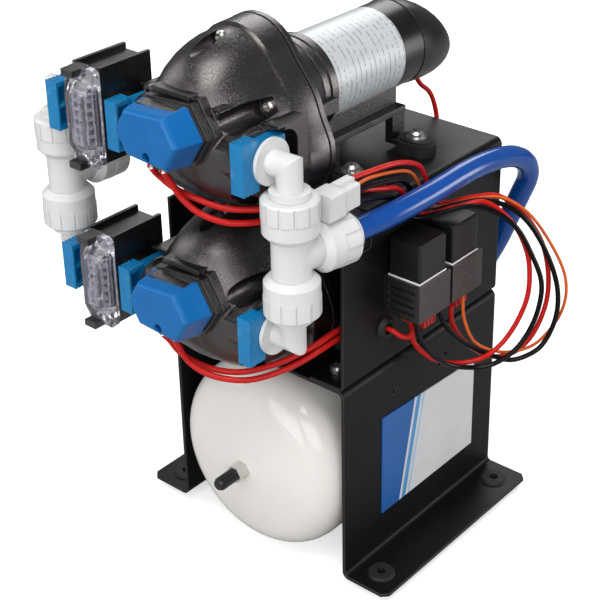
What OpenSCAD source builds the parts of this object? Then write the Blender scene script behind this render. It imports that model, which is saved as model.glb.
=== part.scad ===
// Two stacked diaphragm water pumps with a pressure tank on a two-tier sheet stand.
// Millimetres. z = 0 is the floor, the pump heads face -Y, the outlet side is +X.

/* [Stand] */
// Width across the outer faces of the side plates
stand_width = 150; // [146:1:170]
// Depth of both stands from front edge to rear edge
stand_depth = 172; // [166:1:190]
// Thickness of the bent sheet
sheet = 2; // [1.5:0.1:3]
// Inside radius of every bend
bend = 3; // [2:0.5:5]
// Height of the lower top plate above the floor
lower_plate_height = 155; // [152:1:165]
// Height from one top plate to the next
tier_height = 119; // [114:1:128]
// Reach of each foot flange beyond its side plate
foot_reach = 35; // [30:1:45]
// Width of the in-turned flanges that join the two stands
joint_flange = 28; // [24:1:34]
// Height of the cut-out at the upper front corners
corner_cut_height = 25; // [10:1:30]
// Depth of the cut-out at the upper front corners
corner_cut_depth = 28; // [10:1:32]
// Distance of the stand screws from the outer faces of the plates
stand_screw_inset = 19; // [17:1:21]
// Distance of the stand screws from the front and rear edges
stand_screw_setback = 17; // [14:1:24]

/* [Feet] */
// Spacing of the fixing holes across the stand
foot_spacing_x = 185; // [180:1:190]
// Spacing of the fixing holes along the stand
foot_spacing_y = 136; // [120:1:145]
// Height of rubber below the foot flange
foot_lift = 6; // [4:0.5:9]
// Height of rubber above the foot flange
foot_rim = 2; // [1:0.5:4]
// Outer radius of a rubber foot
foot_radius = 9.5; // [8.5:0.5:11]
// Radius of the hole in the sheet that holds a rubber foot
foot_neck = 7; // [6:0.5:8]
// Radius of the fixing hole through a rubber foot
foot_bore = 3.2; // [2.5:0.1:4]

/* [Tank] */
// Gap between the tank and the side plates
tank_side_gap = 3; // [2:1:8]
// Gap between the tank and the lower plate
tank_drop = 10; // [8:1:11]
// Wall thickness of the tank
tank_wall = 3; // [2:0.5:4]
// Depth of each domed end
dome_depth = 31.5; // [30:0.5:36]
// Knuckle radius where a dome turns into the cylinder
knuckle = 26; // [22:1:28]
// Distance of the front dome tip from the middle of the stand
tank_front = 103.5; // [100:0.5:106]
// Distance of the rear dome tip from the middle of the stand
tank_back = 80; // [74:1:84]
// Distance of the tank seam in front of the middle of the stand
tank_seam = 8; // [0:1:20]
// Length of the saddle between tank and plate
saddle_length = 60; // [40:1:70]
// Width of the saddle
saddle_width = 44; // [30:1:56]

/* [Air valve] */
// Size of the valve hexagon across its flats
valve_hex = 11; // [9:0.5:13]
// Length of the valve hexagon
valve_hex_length = 9; // [8:1:12]
// Radius of the valve stem
valve_stem = 3.2; // [2.5:0.1:3.8]
// Length of the valve stem inside its cap
valve_stem_length = 11; // [8:1:13]
// Radius of the valve cap
valve_cap_radius = 4.7; // [4.3:0.1:5.5]
// Length of the valve cap
valve_cap_length = 15; // [14:1:18]

/* [Pump body] */
// Height of the motor axis above its plate
axis_height = 60; // [58:1:64]
// Distance from the rim's middle to the centre of each round corner
rim_corner = 30; // [28:1:32]
// Corner radius of the rim
rim_round = 32; // [31:1:33]
// Bow of the rim's three sides
rim_bow = 3; // [1:0.5:3.5]
// Width of the rim band along the axis
rim_width = 20; // [16:1:24]
// Distance of the rim's rear face in front of the pump middle
rim_back = 75; // [72:1:80]
// Inset of the dome from the rim, at its foot
dome_inset = 1.5; // [1:0.5:3]
// Distance of the nose in front of the port axis
nose_reach = 18; // [16:1:20]
// Radius of the dome's nose
nose_radius = 20; // [18:1:23]
// Thickness of the rear housing's flange
rear_flange = 4; // [3:0.5:6]
// Length of the tapered neck from rim to motor
neck_length = 27; // [24:1:32]
// Radius of the neck where it meets the motor
neck_radius = 31.5; // [30.5:0.5:34]
// Radius of the motor can
can_radius = 29.5; // [27:0.5:30]
// Wall of the motor can
can_wall = 2; // [1:0.5:3]
// Distance of the motor can's rear end behind the pump middle
can_back = 57; // [50:1:64]
// Length of the drooping end cap
end_cap_length = 61; // [54:1:66]
// Drop of the end cap's tip below the motor axis
end_cap_drop = 17; // [10:1:19]
// Radius of the motor shaft
shaft_radius = 4; // [3:0.5:4.5]
// Radius of the armature
armature_radius = 24; // [18:0.5:25]
// Length of the armature
armature_length = 66; // [50:1:70]
// Offset of the eccentric on the shaft
eccentric_offset = 2; // [1:0.25:2.25]

/* [Pump inside] */
// Radius of the recess for diaphragm and valve plate
recess_radius = 34; // [32:0.5:34.5]
// Thickness of the diaphragm
diaphragm_thickness = 3; // [2:0.5:4]
// Thickness of the valve plate
valve_plate_thickness = 8; // [6:0.5:10]
// Radius of the chamber behind the diaphragm
cam_chamber = 29; // [28.5:0.5:29.5]
// Radius of each of the three drive discs
drive_disc = 8.5; // [6:0.5:8.5]
// Distance of the drive discs from the axis
drive_reach = 19.5; // [19:0.25:19.5]

/* [Pump mounts] */
// Distance of the mounting screws from the middle, across the stand
mount_x = 43; // [41:1:46]
// Distance of the front mounting screws before the pump middle
mount_front = 37; // [34:1:40]
// Distance of the rear mounting screws behind the pump middle
mount_back = 31; // [28:1:36]
// Height of a rubber mount
mount_height = 10; // [9:0.5:12]
// Extra height of the lower pump's rubber mounts
lower_lift = 6; // [0:1:7]
// Length of a rubber mount
mount_length = 28; // [24:1:32]
// Width of a rubber mount
mount_width = 19; // [17:1:22]
// Thickness of the cradle's lugs
lug_thickness = 3; // [2:0.5:4]
// Width of the cradle's lugs
lug_width = 13; // [11:1:15]
// Half width of the cradle's rail
rail_half = 30; // [28:1:32]
// Radius of the mounting screws
screw_radius = 2.5; // [2:0.1:3]

/* [Head screws] */
// Radius of the head screws
head_screw = 2; // [1.5:0.1:2.5]
// Radius of a head screw's pan head
head_screw_pan = 4; // [3.5:0.1:4.5]
// Radius of the scalloped pockets
pocket_radius = 6; // [5.5:0.5:7]
// Distance of the top screw from the axis
screw_reach_top = 49; // [47:0.5:50]
// Distance of the side screws from the axis
screw_reach_side = 39; // [38.5:0.5:40]
// Distance of the lower screws from the axis
screw_reach_low = 52; // [50:0.5:54]

/* [Ports and clips] */
// Distance of the port axis in front of the pump middle
port_forward = 128; // [125:1:131]
// Height of the port axis above its plate
port_height = 53.5; // [52:0.5:56]
// Radius of the port bosses
boss_radius = 17; // [15:0.5:18.5]
// Distance of a slide clip from the middle of the pump
clip_x = 51; // [49:0.5:54]
// Width of a slide clip
clip_width = 10; // [8:0.5:12]
// Height of a slide clip
clip_height = 32; // [28:1:34]
// Reach of a clip's bar in front of the port axis
clip_front = 22; // [19:0.5:25]
// Reach of a clip's arms behind the port axis
clip_back = 14; // [10:0.5:15]
// Radius of the port necks that the clips hold
neck = 8.1; // [7.8:0.1:9]
// Radius of the push-in spigots
spigot = 7.4; // [6.8:0.1:7.6]
// Radius of the waterway through the fittings
waterway = 5; // [4:0.1:5.5]

/* [Push-fit fittings] */
// Radius of the collar nuts
nut_radius = 17.6; // [16.5:0.1:18.5]
// Length of a collar nut
nut_length = 26; // [22:0.5:28]
// Radius of the tee bodies
tee_radius = 12.1; // [11.5:0.1:13]
// Distance of a collar's outer end from the tee's middle
tee_run = 38.5; // [36:0.5:41]
// Distance of the branch collar's outer end from the tee's middle
tee_branch = 42; // [41:0.5:48]
// Turn of the outlet branch away from straight back, toward the outlet side
branch_turn = 10; // [7:1:14]
// Radius of the release ring
ring_radius = 12.4; // [11:0.1:13]
// Length of the release ring outside the nut
ring_length = 4; // [3:0.5:5]
// Radius of the elbow's shoulder disc
disc_radius = 14.5; // [12:0.5:16]
// Thickness of the elbow's shoulder disc
disc_thickness = 2.5; // [2:0.5:4]
// Radius of the elbow's legs
leg_radius = 7.9; // [7.8:0.1:8.5]
// Distance of the tee axis outward from its clip
tee_offset = 20; // [18.5:0.5:24]
// Radius of the hose
hose_radius = 7.5; // [6.5:0.1:7.5]
// Angle of the tank elbow's socket from upright, toward the outlet side
tank_elbow_angle = 35; // [20:1:50]

/* [Switch] */
// Height of the switch above the motor axis
switch_rise = 7; // [4:0.5:9]
// Half width of the switch cover at its rear, between the side tips
switch_half_width = 30; // [27:0.5:33]
// Half height of the switch cover at its rear
switch_half_height = 18; // [16:0.5:20]
// Thickness of the switch base
switch_base_depth = 8; // [6:0.5:10]
// Depth of the switch cover
switch_cover_depth = 19; // [15:0.5:22]
// Distance of the ears' holes from the middle
ear_x = 27.5; // [26.5:0.5:28.5]
// Radius of the adjuster hole in the cover
adjuster_radius = 3; // [2:0.5:4]

/* [Strainer] */
// Width of the strainer box
strainer_width = 24; // [22:0.5:28]
// Half height of the strainer box
strainer_half_height = 29; // [26:0.5:32]
// Depth of the strainer box
strainer_depth = 42; // [36:1:46]
// Distance of the strainer box front before the port axis
strainer_front = 18; // [16:0.5:22]
// Wall of the strainer box
strainer_wall = 2.5; // [2:0.1:3]
// Height of the fins on top of the box
fin_height = 4; // [2:0.5:6]
// Depth of the clear cover
cover_depth = 12; // [8:0.5:14]
// Radius of the screen tube
screen_radius = 7; // [5:0.5:7.5]
// Distance between the clips on both sides of the strainer
strainer_span = 53; // [50:0.5:56]

/* [Relays and connector] */
// Width of a relay across the plate
relay_width = 24.5; // [22:0.5:27]
// Length of a relay along the plate
relay_length = 28; // [25:0.5:30]
// Height of a relay
relay_height = 27; // [24:0.5:28]
// Gap between the two relays
relay_gap = 7; // [4:0.5:9]
// Height of the relay socket
socket_height = 27; // [22:0.5:30]
// Height of the relay socket's top above the lower plate
socket_rise = 69; // [65:1:71]
// Distance of the socket's front end before the middle of the stand
socket_front = 45; // [40:1:48]
// Length of the harness connector
connector_length = 28; // [24:1:32]
// Width of the harness connector
connector_width = 16; // [13:0.5:18]
// Height of the harness connector
connector_height = 17; // [14:0.5:20]
// Radius of the harness bush
bush_radius = 8; // [7:0.5:9]
// Radius of the hole that holds the bush
bush_neck = 5.5; // [5:0.5:6]

/* [Side panel] */
// Length of the panel on the lower side plate
panel_length = 107; // [90:1:120]
// Height of the panel
panel_height = 72; // [50:1:74]
// Extra height of the panel at its front edge
panel_rise = 6; // [0:1:8]
// Thickness of the panel
panel_thickness = 0.8; // [0.5:0.1:1.5]

/* [Wiring] */
// Radius of the thick harness wires
wire_radius = 1.7; // [1.2:0.1:1.8]
// Radius of the thin harness wire
thin_wire_radius = 1.1; // [0.8:0.1:1.3]
// Radius of the switch leads
lead_radius = 2; // [1.5:0.1:2.2]

/* [Clearances] */
// Gap between pieces that slide or pull apart
slide_gap = 0.3; // [0.2:0.05:0.4]
// Radial running clearance of the shaft
running_gap = 0.05; // [0.02:0.01:0.1]
// Gap between a fixed piece and the hole it fills
fit_gap = 0.1; // [0.05:0.05:0.2]

/* [Hidden] */
$fn = 48;

// Levels of the two plates and of what stands on them
foot_top = foot_lift + sheet;
upper_plate_height = lower_plate_height + tier_height;
levels = [lower_plate_height + lower_lift, upper_plate_height];
half_width = stand_width / 2;
half_depth = stand_depth / 2;
outer_bend = bend + sheet;
stand_screw_x = half_width - stand_screw_inset;
stand_screw_y = half_depth - stand_screw_setback;
stand_screw_head = 4;
stand_screw_pan = 5;
mount_places = [[1, -mount_front], [-1, -mount_front], [1, mount_back], [-1, mount_back]];
saddle_screws = [-saddle_length / 4 - tank_seam, saddle_length / 4 - tank_seam];
plate_slot = 5;
small_hole = 2;
side_holes = [[-33, -25], [19, -29], [26, -24]];
rounding = 1.5;

// Stations of the pump along its axis, counted forward from the pump middle
rim_front = rim_back + rim_width;
nose = port_forward + nose_reach;
dome_length = nose - rim_front;
flange_back = rim_back - rear_flange;
motor_front = rim_back - neck_length;
ring_sides = 60;
dome_steps = 8;
dome_corner = rim_corner - dome_inset;
dome_round = rim_round - dome_inset / 2;
pocket_floor = rim_front + 9.5;
screw_places = [
    [90, screw_reach_top, pocket_radius - 1],
    [22, screw_reach_side, pocket_radius + 1.5], [158, screw_reach_side, pocket_radius + 1.5],
    [-45, screw_reach_low, pocket_radius], [225, screw_reach_low, pocket_radius]
];
boss_end = clip_x - clip_width / 2 - slide_gap;
neck_end = clip_x + clip_width / 2 + slide_gap;
port_bore = spigot + fit_gap;
clip_bore = neck + slide_gap;
clip_arm = clip_height / 2 - 4;
clip_bar = 13;
port_drop = port_height - axis_height;
bowl_end = 14;
bearing_wall = 6;
lobes = [90, 210, 330];
eccentric_radius = shaft_radius + eccentric_offset + 1;
ear_rise = switch_half_height - 6;
ear_radius = 4;
ear_hole = 1.5;
band = 12;
band_radius = neck_radius + 0.8;

// Stations of the strainer and of the two tees
strainer_x = -clip_x - strainer_span / 2 + 3;
strainer_clip_x = -clip_x - strainer_span;
outlet_x = clip_x + tee_offset;
inlet_x = strainer_clip_x - tee_offset;
tee_height = (levels[0] + levels[1]) / 2 + port_height;
leg_drop = (levels[1] - levels[0]) / 2 - tee_run - ring_length;
socket_depth = 16;

// Tank stations
tank_radius = half_width - sheet - tank_side_gap;
tank_axis = lower_plate_height - sheet - tank_drop - tank_radius;
crown = (pow(tank_radius - knuckle, 2) + pow(dome_depth, 2) - pow(knuckle, 2))
    / (2 * (dome_depth - knuckle));
tank_elbow_y = tank_back + 24;
tank_elbow_reach = 40;
elbow_body = tee_radius + 1;
tank_elbow_way = [sin(tank_elbow_angle), 0, cos(tank_elbow_angle)];

// Relay block
socket_top = lower_plate_height + socket_rise;
socket_width = relay_width + 4;
socket_length = 2 * relay_length + relay_gap + 6;
relay_x = half_width + 2.5;
front_relay_y = -socket_front + 2;
rear_relay_y = front_relay_y + relay_length + relay_gap;
bush_y = -43;
bush_z = lower_plate_height + 29;
connector_x = outlet_x + 7;
connector_y = -port_forward + tee_branch - 23.5;
connector_z = tee_height + nut_radius + fit_gap;
panel_y = 7.5;
panel_z = 73;

// Colours
black_coat = [0.13, 0.12, 0.12];
pump_black = [0.17, 0.16, 0.16];
gloss_black = [0.05, 0.05, 0.05];
clip_blue = [0.1, 0.45, 0.78];
hose_blue = [0.13, 0.3, 0.65];
fitting_white = [0.93, 0.93, 0.92];
tank_white = [0.9, 0.89, 0.87];
zinc = [0.75, 0.75, 0.76];
rubber_black = [0.07, 0.07, 0.07];
clear_tint = [0.85, 0.85, 0.95, 0.45];
wire_red = [0.8, 0.1, 0.09];
wire_orange = [0.9, 0.4, 0.15];

// Places the children with their z axis toward the front, a given way ahead
module toward_front(ahead) {
    translate([0, -ahead, 0]) rotate([90, 0, 0]) children();
}

// Places the children with their z axis toward +X, starting at a given x
module toward_right(start) {
    translate([start, 0, 0]) rotate([90, 0, 90]) children();
}

// Flat rectangle with round corners, centred
module round_rectangle(width, height, radius) {
    square([width - 2 * radius, height], center = true);
    square([width, height - 2 * radius], center = true);
    for (x = [-1, 1]) for (y = [-1, 1])
        translate([x * (width / 2 - radius), y * (height / 2 - radius)]) circle(radius);
}

// Ring of points, one list per ring, joined into one closed solid
module skin(rings) {
    count = len(rings[0]);
    last = (len(rings) - 1) * count;
    points = [for (ring = rings) each ring];
    sides = [
        for (base = [0:count:last - 1]) for (i = [0:count - 1])
        let (j = (i + 1) % count)
        for (face = [[base + i, base + count + i, base + count + j],
                     [base + i, base + count + j, base + j]]) face
    ];
    front_cap = [for (i = [0:count - 1]) i];
    rear_cap = [for (i = [0:count - 1]) last + count - 1 - i];
    polyhedron(points, concat([front_cap], sides, [rear_cap]));
}

// Radius of a triangle with rounded corners and bowed sides, seen from its middle
function triangle_radius(angle, corner, round) =
    let (turn = abs((angle + 270 + 60) % 120 - 60))
    let (tangent = atan2(round * sin(60), corner + round * cos(60)))
    let (side = (60 - turn) / max(60 - tangent, 1))
    turn <= tangent
        ? corner * cos(turn) + sqrt(pow(round, 2) - pow(corner * sin(turn), 2))
        : (corner / 2 + round) / cos(60 - turn)
            + rim_bow * corner / rim_corner * pow(1 - side * side, 2);

function triangle_outline(corner, round) = [
    for (i = [0:ring_sides - 1])
    let (angle = 360 * i / ring_sides)
    triangle_radius(angle, corner, round) * [cos(angle), sin(angle)]
];

// One ring of the pump housing; low = 0 centres it on the motor, low = 1 on the ports
function housing_ring(ahead, corner, round, low) = [
    for (p = triangle_outline(corner, round)) [p[0], -ahead, axis_height + low * port_drop + p[1]]
];

// Smooth curve through route points
function curve_point(p, k, s) =
    let (a = p[max(k - 1, 0)], b = p[k], c = p[k + 1], d = p[min(k + 2, len(p) - 1)])
    0.5 * (2 * b + (c - a) * s + (2 * a - 5 * b + 4 * c - d) * s * s
        + (3 * b - a - 3 * c + d) * s * s * s);
function curve(p, steps) = [
    for (k = [0:len(p) - 2]) for (j = [0:steps - 1]) curve_point(p, k, j / steps),
    p[len(p) - 1]
];

// Rings of a tube along a curve, their first arm carried on without twist
function unit(v) = v / norm(v);
function heading(p, k) = unit(p[min(k + 1, len(p) - 1)] - p[max(k - 1, 0)]);
function carried(p, k, arm) = k >= len(p) ? []
    : let (way = heading(p, k)) let (next = unit(arm - (arm * way) * way))
      concat([next], carried(p, k + 1, next));
function tube_rings(p, radius, sides, arm) =
    let (arms = carried(p, 0, arm))
    [for (k = [0:len(p) - 1])
        let (side = cross(heading(p, k), arms[k]))
        [for (i = [0:sides - 1])
            p[k] + radius * (cos(360 * i / sides) * arms[k] + sin(360 * i / sides) * side)]];
module tube(route, radius, sides, steps) {
    skin(tube_rings(curve(route, steps), radius, sides, [0.2, 0.3, 0.93]));
}

// Pan-head screw pointing down, its head above z = 0
module pan_screw(radius, pan, head, length) {
    translate([0, 0, -length]) cylinder(r = radius, h = length + head / 2);
    difference() {
        union() {
            cylinder(r = pan, h = head * 0.6);
            translate([0, 0, head * 0.6]) cylinder(r1 = pan, r2 = pan * 0.7, h = head * 0.4);
        }
        for (turn = [0, 90]) rotate(turn) translate([0, 0, head])
            cube([pan * 1.1, pan * 0.28, head], center = true);
    }
}

// Stand: two bent sheets, one on the other
module arch(width, top, bottom, radius) {
    translate([-width / 2, bottom]) square([width, top - bottom - radius]);
    translate([-width / 2 + radius, bottom]) square([width - 2 * radius, top - bottom]);
    for (side = [-1, 1])
        translate([side * (width / 2 - radius), top - radius]) circle(radius);
}
module quarter_bend(x, z, dx, dz) {
    translate([x, z]) intersection() {
        difference() {
            circle(outer_bend);
            circle(bend);
        }
        translate([min(dx, 0) * outer_bend, min(dz, 0) * outer_bend]) square(outer_bend);
    }
}
module bent_arch(top, bottom) {
    difference() {
        arch(stand_width, top, bottom, outer_bend);
        translate([0, -1]) arch(stand_width - 2 * sheet, top - sheet + 1, bottom, bend);
    }
}
module through_plate(level, radius) {
    translate([0, 0, level - sheet - 1]) cylinder(r = radius, h = sheet + 2);
}
module mount_holes(level) {
    for (place = mount_places)
        translate([place[0] * mount_x, place[1], 0])
            through_plate(level, screw_radius + fit_gap);
}
module stand_holes(level) {
    for (x = [-1, 1]) for (y = [-1, 1])
        translate([x * stand_screw_x, y * stand_screw_y, 0])
            through_plate(level, 3 + fit_gap);
}
module lower_stand() {
    color(black_coat) difference() {
        toward_front(-half_depth) linear_extrude(stand_depth) {
            bent_arch(lower_plate_height, foot_top + bend);
            for (side = [0, 1]) mirror([side, 0]) {
                quarter_bend(half_width + bend, foot_top + bend, -1, -1);
                translate([half_width + bend, foot_lift])
                    square([foot_reach - bend, sheet]);
            }
        }
        for (x = [-1, 1]) for (y = [-1, 1])
            translate([x * foot_spacing_x / 2, y * foot_spacing_y / 2, 0])
                through_plate(foot_top, foot_neck);
        for (x = [-1, 1]) for (y = [-1, 1])
            translate([x * (half_width + foot_reach), y * half_depth, foot_lift - 1])
                rotate(45) cube([6, 6, 2 * (sheet + 2)], center = true);
        mount_holes(lower_plate_height);
        stand_holes(lower_plate_height);
        for (y = saddle_screws) translate([0, y, 0])
            through_plate(lower_plate_height, 3 + fit_gap);
        for (hole = side_holes)
            translate([0, hole[0], lower_plate_height + hole[1]])
                toward_right(half_width - sheet - 1) cylinder(r = small_hole, h = sheet + 2);
    }
}
module upper_stand() {
    color(black_coat) difference() {
        toward_front(-half_depth) linear_extrude(stand_depth) {
            bent_arch(upper_plate_height, lower_plate_height + outer_bend);
            for (side = [0, 1]) mirror([side, 0]) {
                quarter_bend(half_width - outer_bend, lower_plate_height + outer_bend, 1, -1);
                translate([half_width - joint_flange, lower_plate_height])
                    square([joint_flange - outer_bend, sheet]);
            }
        }
        translate([-stand_width, -half_depth - 1, upper_plate_height - corner_cut_height])
            cube([2 * stand_width, corner_cut_depth + 1, corner_cut_height + 1]);
        mount_holes(upper_plate_height);
        for (place = mount_places)
            translate([place[0] * mount_x, place[1], lower_plate_height])
                cube([mount_length + 2, mount_width + 2, 4 * sheet], center = true);
        stand_holes(lower_plate_height + sheet);
        translate([half_width - 14, -18, 0]) for (y = [-plate_slot, plate_slot])
            translate([0, y, 0]) through_plate(upper_plate_height, small_hole);
        translate([half_width - 14, -18, upper_plate_height])
            cube([2 * small_hole, 2 * plate_slot, 2 * sheet + 2], center = true);
        translate([0, bush_y, bush_z]) toward_right(half_width - sheet - 1)
            cylinder(r = bush_neck, h = sheet + 2);
    }
}
module stand_feet() {
    color(rubber_black) for (x = [-1, 1]) for (y = [-1, 1])
        translate([x * foot_spacing_x / 2, y * foot_spacing_y / 2, 0]) difference() {
            union() {
                cylinder(r1 = foot_radius - 1, r2 = foot_radius, h = foot_lift);
                translate([0, 0, foot_lift]) cylinder(r = foot_neck - fit_gap, h = sheet);
                translate([0, 0, foot_top])
                    cylinder(r1 = foot_radius, r2 = foot_radius - 1, h = foot_rim);
            }
            translate([0, 0, -1]) cylinder(r = foot_bore, h = foot_top + foot_rim + 2);
        }
}
module stand_screws() {
    color(zinc) {
        for (x = [-1, 1]) for (y = [-1, 1])
            translate([x * stand_screw_x, y * stand_screw_y, lower_plate_height + sheet])
                pan_screw(3, stand_screw_pan, stand_screw_head, 2 * sheet + 3);
        for (y = saddle_screws) translate([0, y, lower_plate_height])
            pan_screw(3, stand_screw_pan, stand_screw_head, sheet + 4);
    }
}
module side_panel() {
    color(fitting_white) translate([0, panel_y, panel_z]) toward_right(half_width)
        linear_extrude(panel_thickness) polygon([
            [-panel_length / 2, -panel_height / 2], [panel_length / 2, -panel_height / 2],
            [panel_length / 2, panel_height / 2], [-panel_length / 2, panel_height / 2 + panel_rise]
        ]);
}

// Tank: two domed shells on the Y axis with an air valve in front
module dome_outline(inset, length) {
    radius = tank_radius - inset;
    lift = crown - dome_depth;
    reach = tank_radius - knuckle;
    intersection() {
        union() {
            square([radius, length]);
            translate([reach, 0]) circle(knuckle - inset);
            intersection() {
                translate([0, lift]) circle(crown - inset, $fn = 192);
                polygon([[0, lift], [3 * reach, -2 * lift], [0, -2 * lift]]);
            }
        }
        translate([0, -crown]) square([radius, crown + length]);
    }
}
module shell(length) {
    rotate_extrude($fn = 96) difference() {
        dome_outline(0, length);
        dome_outline(tank_wall, length + 1);
    }
}
module tank_front_shell() {
    length = tank_front - dome_depth - tank_seam;
    color(tank_white) translate([0, 0, tank_axis]) difference() {
        translate([0, -tank_front + dome_depth, 0]) rotate([-90, 0, 0]) shell(length);
        toward_front(tank_front - 2 * tank_wall) cylinder(r = valve_stem + 1, h = 3 * tank_wall);
    }
}
module tank_rear_shell() {
    length = tank_back - dome_depth + tank_seam;
    color(tank_white) translate([0, 0, tank_axis]) difference() {
        translate([0, tank_back - dome_depth, 0]) rotate([90, 0, 0]) shell(length);
        toward_front(-tank_back - tank_wall) cylinder(r = spigot + fit_gap, h = 3 * tank_wall);
    }
}
module tank_saddle() {
    top = lower_plate_height - sheet;
    low = tank_axis + sqrt(pow(tank_radius, 2) - pow(saddle_width / 2, 2)) - 2;
    color(pump_black) difference() {
        translate([-saddle_width / 2, -tank_seam - saddle_length / 2, low])
            cube([saddle_width, saddle_length, top - low]);
        translate([0, 0, tank_axis]) toward_front(-stand_depth)
            cylinder(r = tank_radius, h = 2 * stand_depth, $fn = 96);
        for (y = saddle_screws) translate([0, y, low])
            cylinder(r = 3 + fit_gap, h = top);
    }
}
module tank_air_valve() {
    color(zinc) translate([0, 0, tank_axis]) {
        toward_front(tank_front - 2 * tank_wall) cylinder(r = valve_stem + 1 - fit_gap,
            h = 2 * tank_wall + 1);
        toward_front(tank_front) cylinder(r = valve_hex / 2 / cos(30), h = valve_hex_length,
            $fn = 6);
        toward_front(tank_front + valve_hex_length)
            cylinder(r = valve_stem, h = valve_stem_length);
    }
}
module tank_valve_cap() {
    start = tank_front + valve_hex_length + slide_gap;
    color(gloss_black) translate([0, 0, tank_axis]) difference() {
        union() {
            toward_front(start) cylinder(r = valve_cap_radius, h = valve_cap_length - 2);
            toward_front(start + valve_cap_length - 2)
                cylinder(r1 = valve_cap_radius, r2 = valve_cap_radius - 1.2, h = 2);
        }
        toward_front(start - 1)
            cylinder(r = valve_stem + slide_gap, h = valve_stem_length + 1 + slide_gap);
        for (turn = [0:30:330]) toward_front(start + 2) rotate(turn)
            translate([valve_cap_radius, 0, 0]) cylinder(r = 0.5, h = valve_cap_length, $fn = 16);
    }
}

// Push-fit pieces, drawn upright with the open end at z = run
module fitting_socket(run) {
    cylinder(r = tee_radius, h = run - nut_length + 2);
    translate([0, 0, run - nut_length + 2])
        cylinder(r = tee_radius - 1.5, h = nut_length - 10);
}
module fitting_bore(run) {
    cylinder(r = waterway, h = run + 1);
    translate([0, 0, run - socket_depth - ring_length])
        cylinder(r = hose_radius + fit_gap, h = socket_depth + ring_length + 1);
}
module collar_nut(run) {
    taper = 4;
    translate([0, 0, run - nut_length]) difference() {
        union() {
            cylinder(r1 = tee_radius + 1.6, r2 = nut_radius - 0.4, h = taper);
            translate([0, 0, taper]) cylinder(r = nut_radius - 0.4, h = nut_length / 2 - taper);
            translate([0, 0, nut_length / 2]) cylinder(r = nut_radius, h = nut_length / 2 - 1.5);
            translate([0, 0, nut_length - 1.5])
                cylinder(r1 = nut_radius, r2 = nut_radius - 1.5, h = 1.5);
        }
        translate([0, 0, -1]) cylinder(r = tee_radius + fit_gap, h = 3 + fit_gap);
        cylinder(r = tee_radius - 1.5 + fit_gap, h = nut_length - 8);
        cylinder(r = hose_radius + 2.5, h = nut_length + 1);
        for (turn = [0:30:330]) rotate(turn) translate([nut_radius, 0, nut_length * 0.75])
            cube([1, 1.2, nut_length / 2 + 1], center = true);
    }
}
module release_ring(run) {
    difference() {
        union() {
            translate([0, 0, run - 8]) cylinder(r = hose_radius + 2.5 - fit_gap, h = 8 + 1);
            translate([0, 0, run + fit_gap]) cylinder(r = ring_radius, h = ring_length - fit_gap);
        }
        translate([0, 0, run - 9]) cylinder(r = hose_radius + fit_gap, h = 9 + ring_length + 1);
    }
}
module tee_arms(x, turn) {
    translate([x, -port_forward, tee_height]) rotate(-turn) {
        for (flip = [0, 180]) rotate([flip, 0, 0]) children(0);
        rotate([-90, 0, 0]) children(1);
    }
}
module both_tees() {
    tee_arms(outlet_x, branch_turn) {
        children(0);
        children(1);
    }
    tee_arms(inlet_x, 0) {
        children(0);
        children(1);
    }
}
module tee(x, turn) {
    color(fitting_white) difference() {
        tee_arms(x, turn) {
            fitting_socket(tee_run);
            fitting_socket(tee_branch);
        }
        tee_arms(x, turn) {
            fitting_bore(tee_run);
            fitting_bore(tee_branch);
        }
    }
}
module outlet_tee() tee(outlet_x, branch_turn);
module inlet_tee() tee(inlet_x, 0);
module tank_elbow_turn() {
    translate([0, tank_elbow_y, tank_axis]) rotate([0, tank_elbow_angle, 0]) children();
}
module collar_nuts() {
    color(fitting_white) {
        both_tees() {
            collar_nut(tee_run);
            collar_nut(tee_branch);
        }
        tank_elbow_turn() collar_nut(tank_elbow_reach);
    }
}
module release_rings() {
    color(fitting_white) {
        both_tees() {
            release_ring(tee_run);
            release_ring(tee_branch);
        }
        tank_elbow_turn() release_ring(tank_elbow_reach);
    }
}
module tank_elbow() {
    color(fitting_white) difference() {
        union() {
            tank_elbow_turn() fitting_socket(tank_elbow_reach);
            translate([0, 0, tank_axis]) {
                toward_front(-tank_elbow_y - elbow_body) cylinder(r = elbow_body,
                    h = tank_elbow_y + elbow_body - tank_back);
                toward_front(-tank_back - 6) cylinder(r = nut_radius / cos(30) * 0.85, h = 6,
                    $fn = 6);
                toward_front(-tank_back) cylinder(r = spigot, h = 2 * tank_wall);
            }
        }
        tank_elbow_turn() fitting_bore(tank_elbow_reach);
        translate([0, 0, tank_axis]) toward_front(-tank_elbow_y - 2)
            cylinder(r = waterway - 0.5, h = tank_elbow_y - tank_back + 3 * tank_wall + 2);
    }
}

// Half of space on one side of an elbow's mitre
module mitre(corner, low) {
    translate([corner, 0, 0]) rotate([0, -45, 0]) translate([-tee_run, -tee_run, low])
        cube(2 * tee_run);
}

// Elbow with its spigot along x, from the plug end out to the leg, turned down
module port_elbow(plug, shoulder, corner) {
    difference() {
        union() {
            toward_right(plug) cylinder(r = spigot, h = shoulder - plug);
            toward_right(boss_end + shoulder - neck_end + fit_gap)
                cylinder(r = neck, h = neck_end - boss_end);
            toward_right(shoulder) cylinder(r = disc_radius, h = disc_thickness);
            intersection() {
                toward_right(shoulder) cylinder(r = leg_radius, h = corner - shoulder + 2 * leg_radius);
                mitre(corner, 0);
            }
            intersection() {
                translate([corner, 0, -leg_drop]) cylinder(r = leg_radius, h = leg_drop + 2 * leg_radius);
                mitre(corner, -2 * tee_run);
            }
            translate([corner, 0, -leg_drop - ring_length - socket_depth + 1])
                cylinder(r = hose_radius, h = leg_drop + socket_depth);
        }
        toward_right(plug - 1) cylinder(r = waterway, h = corner - plug + 1);
        translate([corner, 0, -leg_drop - socket_depth - ring_length])
            cylinder(r = waterway, h = leg_drop + socket_depth + ring_length);
    }
}
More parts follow.
